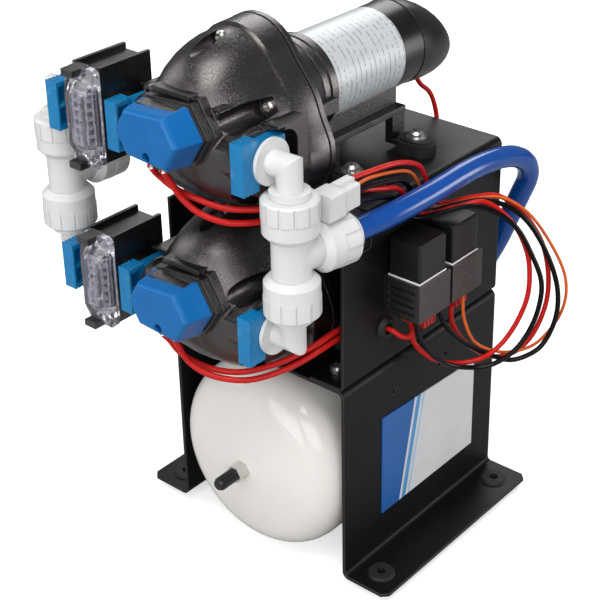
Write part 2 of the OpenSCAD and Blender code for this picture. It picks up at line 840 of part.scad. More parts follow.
module port_elbows() {
    plug = boss_end - 18;
    left_shift = strainer_span;
    color(fitting_white) for (i = [0, 1]) translate([0, -port_forward, levels[i] + port_height])
        mirror([0, 0, 1 - i]) {
            port_elbow(plug, neck_end, outlet_x);
            translate([-left_shift, 0, 0]) mirror([1, 0, 0])
                port_elbow(boss_end - 6, neck_end, outlet_x);
        }
}

// Pump head: a bell on a three-cornered rim, with pockets, ports and clip hoods
module head_loft() {
    dome = [
        for (k = [0:dome_steps])
        let (turn = 90 * k / dome_steps)
        let (flat = cos(turn))
        housing_ring(rim_front + 1 + (dome_length - 1) * sin(turn), dome_corner * flat,
            nose_radius + (dome_round - nose_radius) * flat, flat)
    ];
    rim = [
        housing_ring(rim_back, rim_corner - 0.5, rim_round - 0.5, 1),
        housing_ring(rim_back + 1, rim_corner, rim_round, 1),
        housing_ring(rim_front - 2, rim_corner - 0.3, rim_round - 0.2, 1),
        housing_ring(rim_front - 0.5, dome_corner + 0.4, dome_round + 0.2, 1)
    ];
    skin(concat(rim, dome));
}
module port_boss(side) {
    mirror([side < 0 ? 1 : 0, 0, 0]) translate([0, -port_forward, port_height]) {
        toward_right(0) cylinder(r = boss_radius, h = boss_end - 2);
        toward_right(boss_end - 2) cylinder(r1 = boss_radius, r2 = boss_radius - 2, h = 2);
    }
}
module hood(side) {
    back = port_forward - rim_front;
    mirror([side < 0 ? 1 : 0, 0, 0]) translate([0, -port_forward, port_height])
        toward_right(nose_radius) linear_extrude(clip_x + clip_width / 2 - nose_radius) difference() {
            union() {
                circle(boss_radius + 3);
                translate([0, -boss_radius]) square([back + 1, 2 * boss_radius]);
            }
            translate([-2 * boss_radius, -2 * boss_radius])
                square([2 * boss_radius + clip_back - 6, 4 * boss_radius]);
        }
}
module clip_room(side) {
    mirror([side < 0 ? 1 : 0, 0, 0]) translate([0, -port_forward, port_height])
        toward_right(boss_end) {
            translate([-2 * clip_front, -clip_height / 2 - slide_gap])
                cube([2 * clip_front + clip_back + slide_gap, clip_height + 2 * slide_gap, clip_x]);
            translate([clip_back + 1, 0]) linear_extrude(clip_x)
                round_rectangle(20, 2 * clip_arm + 4, 9.9);
        }
}
module pump_head(ears) {
    color(pump_black) difference() {
        union() {
            head_loft();
            switch_plate(ears);
            for (side = [-1, 1]) {
                port_boss(side);
                hood(side);
            }
        }
        for (side = [-1, 1]) clip_room(side);
        for (place = screw_places) rotate_about_axis(place) {
            toward_front(pocket_floor) cylinder(r = place[2], h = nose);
            toward_front(rim_back - 1) cylinder(r = head_screw + fit_gap, h = rim_front);
        }
        translate([0, 0, axis_height]) {
            toward_front(rim_back - 1) cylinder(r = recess_radius,
                h = diaphragm_thickness + valve_plate_thickness + 1);
            toward_front(rim_back) cylinder(r1 = recess_radius - 2, r2 = bowl_end,
                h = nose - rim_back - 10);
        }
        translate([-boss_end - 1, -port_forward, port_height]) toward_right(0)
            cylinder(r = port_bore, h = 2 * boss_end + 2);
    }
}
module rotate_about_axis(place) {
    translate([place[1] * cos(place[0]), 0, axis_height + place[1] * sin(place[0])]) children();
}
module at_level(i) translate([0, 0, levels[i]]) children();
module upper_head() at_level(1) pump_head([-1, 1]);
module lower_head() at_level(0) pump_head([]);

// Rear housing: flange, tapered neck and motor bearing
module rear_housing() {
    groove = 2;
    lug = [10, 18, 9];
    color(pump_black) difference() {
        union() {
            toward_front(flange_back) linear_extrude(rear_flange) translate([0, port_height])
                polygon(triangle_outline(rim_corner, rim_round + 0.4));
            skin([
                housing_ring(motor_front - 1, 0, neck_radius - 0.4, 0),
                housing_ring(motor_front + 8, 4, neck_radius - 1, 0),
                housing_ring(flange_back - 6, 22, 24, 0.5),
                housing_ring(flange_back + 1, rim_corner - 4, 24, 1)
            ]);
            translate([0, 0, axis_height]) toward_front(motor_front - band)
                cylinder(r = band_radius, h = band + 1);
            for (side = [-1, 1])
                translate([side * (neck_radius + 1), -motor_front - 4, axis_height - 4])
                    cube(lug, center = true);
        }
        translate([0, 0, axis_height]) {
            toward_front(motor_front + bearing_wall)
                cylinder(r = cam_chamber, h = neck_length - bearing_wall + 1);
            toward_front(motor_front - band - 1) cylinder(r = can_radius + fit_gap, h = band + 1);
            toward_front(motor_front - 1)
                cylinder(r = shaft_radius + running_gap, h = bearing_wall + 2);
            toward_front(motor_front - band / 2) difference() {
                cylinder(r = band_radius + 1, h = groove);
                translate([0, 0, -1]) cylinder(r = band_radius - 1.2, h = groove + 2);
            }
        }
        for (place = screw_places) rotate_about_axis(place)
            toward_front(flange_back - 1) cylinder(r = head_screw + fit_gap, h = rear_flange + 2);
    }
}
module upper_rear_housing() at_level(1) rear_housing();
module lower_rear_housing() at_level(0) rear_housing();

// Motor: can, drooping end cap, cradle and rotor
module motor_can() {
    color(fitting_white) translate([0, 0, axis_height]) difference() {
        toward_front(-can_back) cylinder(r = can_radius, h = can_back + motor_front);
        toward_front(-can_back - 1)
            cylinder(r = can_radius - can_wall, h = can_back + motor_front + 2);
    }
}
module upper_motor_can() at_level(1) motor_can();
module lower_motor_can() at_level(0) motor_can();

function cap_radius(s) = (can_radius + 0.5) * pow(cos(90 * s), 0.55);
function cap_drop(s) = end_cap_drop * pow(s, 1.35);
module end_cap() {
    steps = 10;
    sides = 36;
    slope = [for (k = [steps:-1:0]) 0.985 * k / steps];
    color(gloss_black) difference() {
        skin([for (s = slope) [for (i = [0:sides - 1])
            let (turn = 360 * i / sides)
            [cap_radius(s) * cos(turn), can_back + end_cap_length * s,
                axis_height - cap_drop(s) + cap_radius(s) * sin(turn)]]]);
        translate([0, 0, axis_height]) {
            toward_front(-can_back - 8) cylinder(r = can_radius - can_wall, h = 9);
            toward_front(-can_back - 20) cylinder(r = shaft_radius + running_gap, h = 21);
        }
    }
}
module upper_end_cap() at_level(1) end_cap();
module lower_end_cap() at_level(0) end_cap();

module cradle() {
    front = mount_front + 5;
    length = mount_front + mount_back + 10;
    lug_low = (mount_height - lug_thickness) / 2;
    rail_low = axis_height - can_radius - 10;
    color(pump_black) difference() {
        union() {
            translate([-rail_half, -front, axis_height - can_radius - 6])
                cube([2 * rail_half, length, 4]);
            translate([-rail_half + 8, -front, rail_low])
                cube([2 * rail_half - 16, length, can_radius - 4]);
            for (place = mount_places) {
                translate([place[0] > 0 ? rail_half - 8 : -rail_half + 2, place[1] - lug_width / 2,
                    lug_low]) cube([6, lug_width, rail_low + 6 - lug_low]);
                translate([place[0] > 0 ? rail_half - 8 : -mount_x, place[1] - lug_width / 2,
                    lug_low]) cube([mount_x - rail_half + 8, lug_width, lug_thickness]);
                translate([place[0] * mount_x, place[1], lug_low])
                    cylinder(r = lug_width / 2, h = lug_thickness);
            }
        }
        translate([0, 0, axis_height]) toward_front(-stand_depth)
            cylinder(r = can_radius, h = 2 * stand_depth);
        translate([0, 0, axis_height]) toward_front(motor_front - band - fit_gap)
            cylinder(r = band_radius + fit_gap, h = stand_depth);
        for (place = mount_places) translate([place[0] * mount_x, place[1], 0])
            cylinder(r = screw_radius + fit_gap, h = mount_height);
    }
}
module upper_cradle() at_level(1) cradle();
module lower_cradle() at_level(0) cradle();

module rotor() {
    commutator = 10;
    color(zinc) translate([0, 0, axis_height]) {
        toward_front(-can_back - 16) cylinder(r = shaft_radius, h = can_back + rim_back + 13);
        toward_front(-armature_length / 2 - 6) cylinder(r = armature_radius, h = armature_length);
        toward_front(-armature_length / 2 - 6 - commutator)
            cylinder(r = armature_radius / 2, h = commutator + 1);
        translate([eccentric_offset, 0, 0]) toward_front(rim_back - 9)
            cylinder(r = eccentric_radius, h = 6);
    }
}
module upper_rotor() at_level(1) rotor();
module lower_rotor() at_level(0) rotor();

// Pump inside: three-armed wobble plate, diaphragm and valve plate
module wobble_plates() {
    hub = eccentric_radius + eccentric_offset + 1;
    color(pump_black) for (i = [0, 1]) at_level(i) translate([0, 0, axis_height]) difference() {
        union() {
            toward_front(rim_back - 8) cylinder(r = hub + 3, h = 5);
            for (turn = lobes) rotate([0, -turn, 0]) {
                translate([hub, -rim_back + 3, -3]) cube([drive_reach - hub, 5, 6]);
                translate([drive_reach, 0, 0]) toward_front(rim_back - 8)
                    cylinder(r = drive_disc, h = 8);
            }
        }
        toward_front(rim_back - 20) cylinder(r = hub, h = 40);
    }
}
module diaphragms() {
    color(rubber_black) for (i = [0, 1]) at_level(i) translate([0, 0, axis_height]) difference() {
        toward_front(rim_back) cylinder(r = recess_radius - fit_gap, h = diaphragm_thickness);
        for (turn = lobes) rotate([0, -turn, 0]) translate([drive_reach, 0, 0])
            toward_front(rim_back + diaphragm_thickness - 1) rotate_extrude()
                translate([drive_disc + 2, 1]) circle(0.8, $fn = 16);
    }
}
module valve_plates() {
    start = rim_back + diaphragm_thickness;
    color(fitting_white) for (i = [0, 1]) at_level(i) translate([0, 0, axis_height]) difference() {
        toward_front(start) cylinder(r = recess_radius - fit_gap, h = valve_plate_thickness);
        for (turn = lobes) rotate([0, -turn, 0]) for (out = [0, 9])
            translate([drive_reach - 6 + out, 0, 0]) toward_front(start - 1)
                cylinder(r = 2.5, h = valve_plate_thickness + 2);
    }
}

// Fasteners of the pumps
module head_screws() {
    color(zinc) for (i = [0, 1]) at_level(i) for (place = screw_places)
        rotate_about_axis(place) toward_front(pocket_floor)
            pan_screw(head_screw, head_screw_pan, 3, pocket_floor - flange_back);
}
module mount_screws() {
    washer = 7;
    color(zinc) for (i = [0, 1]) at_level(i) for (place = mount_places)
        translate([place[0] * mount_x, place[1], mount_height]) {
            cylinder(r = washer, h = 1.2);
            translate([0, 0, 1.2])
                pan_screw(screw_radius, 2 * screw_radius, 4,
                    mount_height + sheet + 4 + (1 - i) * lower_lift);
        }
}
module mount_rubbers() {
    lug_low = (mount_height - lug_thickness) / 2;
    color(rubber_black) for (i = [0, 1]) at_level(i) for (place = mount_places)
        translate([place[0] * mount_x, place[1], 0]) difference() {
            union() {
                translate([0, 0, (i - 1) * lower_lift])
                    linear_extrude(mount_height - 2 + (1 - i) * lower_lift)
                        round_rectangle(mount_length, mount_width, mount_width / 2 - 0.01);
                linear_extrude(mount_height)
                    round_rectangle(mount_length - 4, mount_width - 4, mount_width / 2 - 2.01);
            }
            translate([0, 0, -1 - lower_lift])
                cylinder(r = screw_radius + fit_gap, h = mount_height + lower_lift + 2);
            translate([0, 0, lug_low - fit_gap])
                cylinder(r = lug_width / 2 + fit_gap, h = lug_thickness + 2 * fit_gap);
            translate([place[0] > 0 ? -mount_length : 0, -lug_width / 2 - fit_gap, lug_low - fit_gap])
                cube([mount_length, lug_width + 2 * fit_gap, lug_thickness + 2 * fit_gap]);
        }
}

// Pressure switch: hexagonal base with ears, blue cover with draft
switch_taper = 0.87;
function hexagon(width, height) = [
    [width, 0], [0.62 * width, height], [-0.58 * width, switch_taper * height],
    [-0.9 * width, 0], [-0.58 * width, -switch_taper * height], [0.62 * width, -height]
];
function hexagon_ring(ahead, width, height) = [
    for (p = hexagon(width, height)) [p[0], -ahead, p[1]]
];
module switch_plate(ears) {
    bar = 6;
    visor = switch_half_width / 2;
    translate([0, 0, axis_height + switch_rise]) difference() {
        union() {
            toward_front(nose - bar) linear_extrude(bar)
                polygon(hexagon(switch_half_width + 2, switch_half_height + 2.5));
            translate([-visor, -nose - 3, switch_half_height + 1 + fit_gap])
                cube([2 * visor, 3 + bar, 3]);
            for (side = ears) translate([side * ear_x, 0, ear_rise])
                toward_front(nose - 5 * bar) cylinder(r = ear_radius, h = 4 * bar + 0.5);
        }
        for (side = ears) translate([side * ear_x, 0, ear_rise])
            toward_front(nose - 3 * bar) cylinder(r = ear_hole, h = 4 * bar);
    }
}
module switch_base() {
    window = 0.5 * switch_half_width;
    sill = 7;
    color(pump_black) translate([0, 0, axis_height + switch_rise]) {
        toward_front(nose) linear_extrude(switch_base_depth - 2)
            polygon(hexagon(switch_half_width + 1.5, switch_half_height + 1));
        toward_front(nose + switch_base_depth - 2) linear_extrude(2)
            polygon(hexagon(switch_half_width - 1, switch_half_height - 1));
        translate([-window, -nose - switch_base_depth - 8, switch_half_height - sill])
            cube([2 * window, 9, sill - (1 - switch_taper) * switch_half_height]);
    }
}
module upper_switch_base() at_level(1) switch_base();
module lower_switch_base() at_level(0) switch_base();
module switch_cover() {
    start = nose + switch_base_depth;
    face = start + switch_cover_depth;
    window = 0.5 * switch_half_width + slide_gap;
    color(clip_blue) translate([0, 0, axis_height + switch_rise]) difference() {
        skin([
            hexagon_ring(start, switch_half_width, switch_half_height),
            hexagon_ring(face - 3, switch_half_width - 3.5, switch_half_height - 1.5),
            hexagon_ring(face - 0.8, switch_half_width - 4.6, switch_half_height - 2.4),
            hexagon_ring(face, switch_half_width - 6, switch_half_height - 3.6)
        ]);
        translate([-window, -start - 8 - slide_gap, switch_half_height - 7 - slide_gap])
            cube([2 * window, 9 + slide_gap, 20]);
        translate([2, 0, -0.62 * switch_half_height]) toward_front(face - 6)
            cylinder(r = adjuster_radius, h = 8);
    }
}
module upper_switch_cover() at_level(1) switch_cover();
module lower_switch_cover() at_level(0) switch_cover();

// Strainer: black box with two fins, clear cover, screen, and a plug into the pump
strainer_face = port_forward + strainer_front;
module strainer_body() {
    half = strainer_width / 2;
    right = -clip_x - strainer_x;
    left = strainer_x - strainer_clip_x;
    latch = 10;
    color(pump_black) translate([strainer_x, 0, port_height]) difference() {
        union() {
            translate([-half, -strainer_face, -strainer_half_height])
                cube([strainer_width, strainer_depth, 2 * strainer_half_height]);
            for (side = [-half, half - strainer_wall])
                translate([side, -strainer_face, strainer_half_height - 1])
                    cube([strainer_wall, strainer_depth, fin_height + 1]);
            translate([0, -port_forward, 0]) {
                toward_right(half - 1)
                    cylinder(r = neck + 4, h = right - half - clip_width / 2 - slide_gap + 1);
                toward_right(half) cylinder(r = neck, h = right - half + clip_width / 2);
                toward_right(half) cylinder(r = spigot, h = right - half + clip_width / 2 + 18);
                mirror([1, 0, 0]) toward_right(half - 1)
                    cylinder(r = neck + 4, h = left - half - clip_width / 2 - slide_gap + 1);
            }
            for (up = [-1, 1]) translate([-3, -strainer_face - cover_depth / 2,
                up * (strainer_half_height + 1.4)])
                cube([latch, cover_depth + 2, 5 - 2 * slide_gap], center = true);
        }
        translate([-half + strainer_wall, -strainer_face - 1, -strainer_half_height + strainer_wall])
            cube([strainer_width - 2 * strainer_wall, strainer_depth - strainer_wall + 1,
                2 * strainer_half_height - 2 * strainer_wall]);
        translate([0, -port_forward, 0]) {
            toward_right(0) cylinder(r = waterway, h = strainer_span);
            mirror([1, 0, 0]) toward_right(0) cylinder(r = port_bore, h = strainer_span);
        }
    }
}
module upper_strainer_body() at_level(1) strainer_body();
module lower_strainer_body() at_level(0) strainer_body();
function lens_ring(ahead, width, height, cut) = [
    for (p = [[width, -height + cut], [width, height - cut], [width - cut, height],
        [-width + cut, height], [-width, height - cut], [-width, -height + cut],
        [-width + cut, -height], [width - cut, -height]]) [p[0], -ahead, p[1]]
];
module strainer_cover() {
    half = strainer_width / 2;
    tall = strainer_half_height + fin_height - 0.5;
    base = strainer_face + slide_gap;
    color(clear_tint) translate([strainer_x, 0, port_height]) difference() {
        skin([
            lens_ring(base, half, tall, 3),
            lens_ring(base + cover_depth * 0.4, half, tall, 3),
            lens_ring(base + cover_depth * 0.75, half - 2, tall - 7, 5),
            lens_ring(base + cover_depth, half - 5, tall - 12, 4)
        ]);
        for (up = [-1, 1]) translate([-3, -base - cover_depth / 2, up * (tall + 3)])
            cube([10 + 2 * slide_gap, 2 * cover_depth, 2 * (tall + 3 - strainer_half_height + 1.5)],
                center = true);
        skin([
            lens_ring(base - 1, half - 4, tall - 11, 3),
            lens_ring(base + cover_depth * 0.6, half - 6, tall - 14, 3)
        ]);
    }
}
module upper_strainer_cover() at_level(1) strainer_cover();
module lower_strainer_cover() at_level(0) strainer_cover();
module strainer_screens() {
    tall = strainer_half_height - strainer_wall;
    color(zinc) for (i = [0, 1]) at_level(i)
        translate([strainer_x, -port_forward + 6, port_height - tall]) difference() {
            cylinder(r = screen_radius, h = 2 * tall);
            translate([0, 0, -1]) cylinder(r = screen_radius - 1, h = 2 * tall + 2);
        }
}

// Slide clips: a bar in front and two arms around the neck
module slide_clip(x) {
    ridges = 4;
    color(clip_blue) translate([x - clip_width / 2, -port_forward, port_height]) difference() {
        toward_right(0) linear_extrude(clip_width) difference() {
            union() {
                translate([-clip_front, -clip_height / 2]) square([clip_bar, clip_height]);
                translate([-clip_front, -clip_arm]) square([clip_front + clip_back, 2 * clip_arm]);
            }
            circle(clip_bore);
            translate([0, -clip_bore]) square([clip_back + 1, 2 * clip_bore]);
        }
        for (up = [-1, 1]) for (k = [0:ridges - 1])
            translate([clip_width / 2, -clip_front + 2 + 3 * k, up * clip_height / 2])
                cube([clip_width + 2, 1.2, 1.2], center = true);
    }
}
module upper_inlet_clip() at_level(1) slide_clip(-clip_x);
module lower_inlet_clip() at_level(0) slide_clip(-clip_x);
module upper_strainer_clip() at_level(1) slide_clip(strainer_clip_x);
module lower_strainer_clip() at_level(0) slide_clip(strainer_clip_x);
module upper_outlet_clip() at_level(1) slide_clip(clip_x);
module lower_outlet_clip() at_level(0) slide_clip(clip_x);

// Relays on their socket, and the harness connector
module relay_socket() {
    low = socket_top - socket_height;
    color(pump_black) difference() {
        translate([half_width, -socket_front, low])
            cube([socket_width, socket_length, socket_height]);
        for (k = [1:4]) translate([half_width + socket_width / 2, -socket_front, low + 5.2 * k])
            cube([socket_width - 8, 3, 2], center = true);
        translate([half_width + socket_width, -socket_front + socket_length / 2, socket_top])
            cube([6, 2.5, 4 * socket_height], center = true);
    }
}
module relay(y) {
    color(gloss_black) translate([relay_x + relay_width / 2, y + relay_length / 2, socket_top]) {
        linear_extrude(relay_height - 1) round_rectangle(relay_width, relay_length, rounding);
        translate([0, 0, relay_height - 1]) linear_extrude(1)
            round_rectangle(relay_width - 1.6, relay_length - 1.6, rounding);
    }
}
module front_relay() relay(front_relay_y);
module rear_relay() relay(rear_relay_y);
module relay_locks() {
    low = socket_top - socket_height;
    color(wire_red) for (y = [front_relay_y, rear_relay_y]) for (k = [0, 1])
        translate([relay_x + 4 + 11 * k, y + 9, low - 9]) cube([7, 12, 9]);
}
module connector_part(y, length, inset) {
    translate([connector_x, y + length / 2, connector_z + connector_height / 2]) rotate([90, 0, 0])
        linear_extrude(length, center = true)
            round_rectangle(connector_width - inset, connector_height - inset, rounding);
}
module connector_plug() {
    color(fitting_white) connector_part(connector_y, connector_length / 2, 0);
}
module connector_socket() {
    color(fitting_white) {
        connector_part(connector_y + connector_length / 2, connector_length / 2, 1.6);
        translate([connector_x - 3, connector_y + connector_length / 2,
            connector_z + connector_height - 1.8]) cube([6, connector_length / 2, 3.4]);
    }
}
module harness_bush() {
    color(rubber_black) translate([0, bush_y, bush_z]) difference() {
        union() {
            toward_right(half_width - sheet - 2.5) cylinder(r = bush_radius - 1, h = 2.5);
            toward_right(half_width - sheet) cylinder(r = bush_neck - fit_gap, h = sheet);
            toward_right(half_width) cylinder(r1 = bush_radius, r2 = bush_radius - 1.5, h = 3);
        }
        toward_right(half_width - 3 * sheet) cylinder(r = 2 * lead_step, h = 6 * sheet);
    }
}

// Routes of hose, harness and leads; their ends lie in the pieces that hold them
branch_way = [sin(branch_turn), cos(branch_turn), 0];
hose_start = [outlet_x, -port_forward, tee_height] + (tee_branch - 10) * branch_way;
hose_end = [0, tank_elbow_y, tank_axis] + (tank_elbow_reach - 10) * tank_elbow_way;
hose_route = [
    hose_start, hose_start + 24 * branch_way, [85, -50, 272], [88.5, -18, 274], [89, 15, 275],
    [89, 42, 274], [89, 65, 270.5], [89, 83, 264.5], [88.5, 97, 254.5], [85.5, 104.5, 241],
    [79, 106, 225], [72, 105.5, 207], [63, 105, 184], [50, tank_elbow_y, 157],
    hose_end + 24 * tank_elbow_way, hose_end + 16 * tank_elbow_way, hose_end
];
plug_end = [connector_x, connector_y + connector_length, connector_z + connector_height / 2];
socket_low = socket_top - socket_height;
black_inner = [
    plug_end + [3, 0, -5], plug_end + [2, 12, -9], [77.1, -50, 281], [77, -38, 276],
    [77, -30.5, 269], [79, -27, 263], [86, -24, 259.5], [96, -8.7, 261], [106, 5.4, 262.5],
    [117, 17, 257], [127, 27, 245], [134, 34, 227], [140, 40, 204], [139, 39, 182], [134, 34, 163],
    [127, 27, 150], [117, 17, 142], [107, 6, 142], [101, -8, 149], [98, -23, 163],
    [96.5, -35, 181], [96, -38, socket_low - 6], [96, -38, socket_low]
];
red_inner = [
    plug_end + [-4, 0, -3], plug_end + [-3, 10, -4], [77.2, -50, 287], [77.1, -36, 282],
    [77, -26.5, 274], [78.2, -21, 265], [86, -17, 259.5], [98, 1.5, 261], [110, 15.8, 262.5],
    [123, 29, 246], [130, 36, 225], [132, 38, 206], [131, 37, 188], [126, 32, 169],
    [119, 25, 154], [110, 16, 145], [98, 4, 143], [90, -11, 151], [86, -25, 167],
    [86, -29, socket_low - 16], [86, -29, socket_low - 9]
];
black_outer = [
    plug_end + [3, 0, 0], plug_end + [1, 14, -2], [77.2, -45, 290], [77.1, -30, 285],
    [77, -20, 275], [78.2, -14, 265], [86, -10, 259.5], [96, 5.2, 261], [106, 18, 262],
    [117, 29, 257], [126, 38, 247], [134, 46, 230], [141, 53, 207], [144, 56, 187],
    [143, 55, 168], [138, 50, 151], [131, 43, 143], [122, 34, 140], [112, 24, 145.5],
    [103, 11, 156], [96, -3, 173], [93, -10, socket_low - 7], [93, -10, socket_low]
];
orange_route = [
    plug_end + [3, 0, 4], plug_end + [1, 16, 3], [77.2, -38, 294], [77.1, -22, 288],
    [76.8, -13, 278], [78.2, -7.5, 265], [86, -3.8, 259.5], [97, 12.7, 261], [108, 26, 262],
    [117, 35, 258], [127, 45, 246], [136, 54, 227], [143, 61, 207], [145.5, 63.5, 191],
    [144.5, 62.5, 176], [140, 58, 162], [132, 50, 149], [122, 40, 144], [112, 29, 146],
    [105, 16, 157], [102, 8, 176], [101.7, 6, socket_low - 8], [101.7, 6, socket_low]
];
red_outer = [
    plug_end + [-4, 0, 5], plug_end + [-3, 14, 5], [77.3, -36, 299], [77.2, -14, 290],
    [77, -5.5, 279], [78.5, 0, 266], [86, 2.8, 259.5], [97, 18.8, 261], [109, 33, 260],
    [121, 45, 246], [130, 54, 225], [134, 58, 202], [134, 58, 179], [129, 53, 156],
    [121, 45, 142], [111, 35, 138], [103, 26, 143], [97, 14, 156], [94, 5, 173],
    [94, 4, socket_low - 9]
];
lead_step = lead_radius + fit_gap;
switch_low = axis_height + switch_rise - switch_half_height;
lead_out = nose + switch_base_depth + 6;
upper_low = upper_plate_height + switch_low;
lower_low = levels[0] + switch_low;
plug_side = [connector_x - connector_width / 2, connector_y + 6, connector_z + connector_height / 2];
bush_inside = [half_width - sheet - 3, bush_y, bush_z];
upper_near = [
    [-8, -lead_out, upper_low + 1], [-8, -lead_out, upper_low - 6], [-9, -153, 308],
    [-1, -149, 301], [12, -144, 296], [28, -135, 291], [44, -120, 290], [57, -109, 294],
    plug_side + [-6, 0, 3], plug_side + [0, 0, 3]
];
upper_far = [
    [2, -lead_out, upper_low + 1], [2, -lead_out, upper_low - 6], [3, -156, 309],
    [8, -152, 298], [18, -147, 289], [32, -138, 284], [45, -122, 283], [57, -108, 287],
    plug_side + [-6, 0, -3], plug_side + [0, 0, -3]
];
lower_near = [
    [-8, -lead_out, lower_low + 1], [-8, -lead_out, lower_low - 6], [-9, -154, 196],
    [-5, -150, 187], [5, -146, 181], [18, -141, 178], [32, -133, 178], [45, -122, 182],
    [56, -111, 188], [64, -98, 194], [67, -82, 197], [66, -64, 191], [67, -50, 186.7],
    bush_inside + [-4, 0, lead_step], bush_inside + [1, 0, lead_step]
];
lower_far = [
    [2, -lead_out, lower_low + 1], [2, -lead_out, lower_low - 6], [2, -157, 197],
    [6, -154, 187], [15, -150, 180], [26, -144, 176.5], [39, -134, 175.5], [51, -120, 179],
    [60, -106, 184.5], [66, -92, 190], [67, -76, 190.5], [65, -60, 184], [66, -50, 181.6],
    bush_inside + [-4, 0, -lead_step], bush_inside + [1, 0, -lead_step]
];
bush_lead = [
    [half_width + 1, bush_y, bush_z], [half_width + 6, bush_y, bush_z], [86, -41, 181],
    [90, -37, 180], [90.5, -32, 185], [90.5, -31, socket_low - 5], [90.5, -31, socket_low]
];
upper_cap_low = upper_plate_height + axis_height - can_radius + 2;
motor_lead = [
    [12, 72, upper_cap_low], [13, 76, upper_cap_low - 6], [14, 86, 291], [15, 92, 275],
    [15, 94, 255], [14, 91, 243], [13, 86, 234]
];
module blue_hose() {
    color(hose_blue) tube(hose_route, hose_radius, 12, 4);
}
module red_wires() {
    color(wire_red) {
        tube(red_outer, wire_radius, 8, 3);
        tube(red_inner, wire_radius, 8, 3);
        tube(bush_lead, wire_radius, 8, 3);
        tube(motor_lead, wire_radius, 8, 3);
        for (route = [upper_near, upper_far, lower_near, lower_far])
            tube(route, lead_radius, 8, 3);
    }
}
module black_wires() {
    color(rubber_black) {
        tube(black_outer, wire_radius, 8, 3);
        tube(black_inner, wire_radius, 8, 3);
    }
}
module orange_wire() {
    color(wire_orange) tube(orange_route, thin_wire_radius, 8, 3);
}

lower_stand();
upper_stand();
stand_feet();
stand_screws();
side_panel();
tank_front_shell();
tank_rear_shell();
tank_saddle();
tank_air_valve();
tank_valve_cap();
tank_elbow();
upper_head();
lower_head();
upper_rear_housing();
lower_rear_housing();
upper_motor_can();
lower_motor_can();
upper_end_cap();
lower_end_cap();
upper_cradle();
lower_cradle();
upper_rotor();
lower_rotor();
upper_switch_base();
lower_switch_base();
upper_switch_cover();
lower_switch_cover();
upper_strainer_body();
lower_strainer_body();
upper_strainer_cover();
lower_strainer_cover();
upper_inlet_clip();
lower_inlet_clip();
upper_strainer_clip();
lower_strainer_clip();
upper_outlet_clip();
lower_outlet_clip();
wobble_plates();
diaphragms();
valve_plates();
strainer_screens();
head_screws();
mount_screws();
mount_rubbers();
port_elbows();
outlet_tee();
inlet_tee();
collar_nuts();
release_rings();
relay_socket();
front_relay();
rear_relay();
relay_locks();
connector_plug();
connector_socket();
harness_bush();
blue_hose();
red_wires();
black_wires();
orange_wire();
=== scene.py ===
import math

import bmesh
import bpy
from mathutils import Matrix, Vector


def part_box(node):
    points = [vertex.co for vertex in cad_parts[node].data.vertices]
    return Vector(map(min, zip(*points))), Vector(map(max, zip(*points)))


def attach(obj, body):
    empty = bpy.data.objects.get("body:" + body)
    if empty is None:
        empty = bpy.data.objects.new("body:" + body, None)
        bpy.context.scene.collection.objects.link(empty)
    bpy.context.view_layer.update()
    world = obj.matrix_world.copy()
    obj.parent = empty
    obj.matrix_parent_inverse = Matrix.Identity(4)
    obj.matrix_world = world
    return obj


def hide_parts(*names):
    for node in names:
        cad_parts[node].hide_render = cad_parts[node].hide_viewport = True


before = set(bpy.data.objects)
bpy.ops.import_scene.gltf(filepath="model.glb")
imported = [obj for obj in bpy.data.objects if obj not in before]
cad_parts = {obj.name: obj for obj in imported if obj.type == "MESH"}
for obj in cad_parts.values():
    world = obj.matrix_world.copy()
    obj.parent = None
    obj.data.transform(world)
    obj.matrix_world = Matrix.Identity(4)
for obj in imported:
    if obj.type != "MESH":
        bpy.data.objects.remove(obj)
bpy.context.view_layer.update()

scene = bpy.context.scene
scene.view_settings.view_transform = "Standard"

# The view: the set is seen from its front right corner, a little from above.
# The picture is cut off-centre from a longer shot, which the lens shift repeats.
camera = bpy.data.objects.new("camera", bpy.data.cameras.new("camera"))
scene.collection.objects.link(camera)
camera.location = (0.58305, -0.70439, 0.68231)
camera.rotation_euler = (math.radians(90 - 26.8846), 0, math.radians(38.4847))
camera.data.sensor_width = 36
camera.data.lens = 89.892
camera.data.shift_x = -0.10625
camera.data.shift_y = -0.1275
camera.data.clip_start = 0.01
camera.data.clip_end = 50
scene.camera = camera

# The studio: a matt white board that runs out of sight and keeps a faint shadow under the feet, a
# pale room and six soft lamps, the main one overhead. The room is white to the eye and through the
# clear covers, but dim as a light.
def linear(code):
    """Linear colour of an sRGB hex value."""
    parts = [int(code[i:i + 2], 16) / 255 for i in (1, 3, 5)]
    return [c / 12.92 if c <= 0.04045 else ((c + 0.055) / 1.055) ** 2.4 for c in parts] + [1.0]


def add(tree, kind, inputs=None, **settings):
    """One shader node, its settings and what goes into its sockets."""
    node = tree.nodes.new("ShaderNode" + kind)
    for name, value in settings.items():
        setattr(node, name, value)
    for name, value in (inputs or {}).items():
        if isinstance(value, bpy.types.NodeSocket):
            tree.links.new(value, node.inputs[name])
        else:
            node.inputs[name].default_value = value
    return node


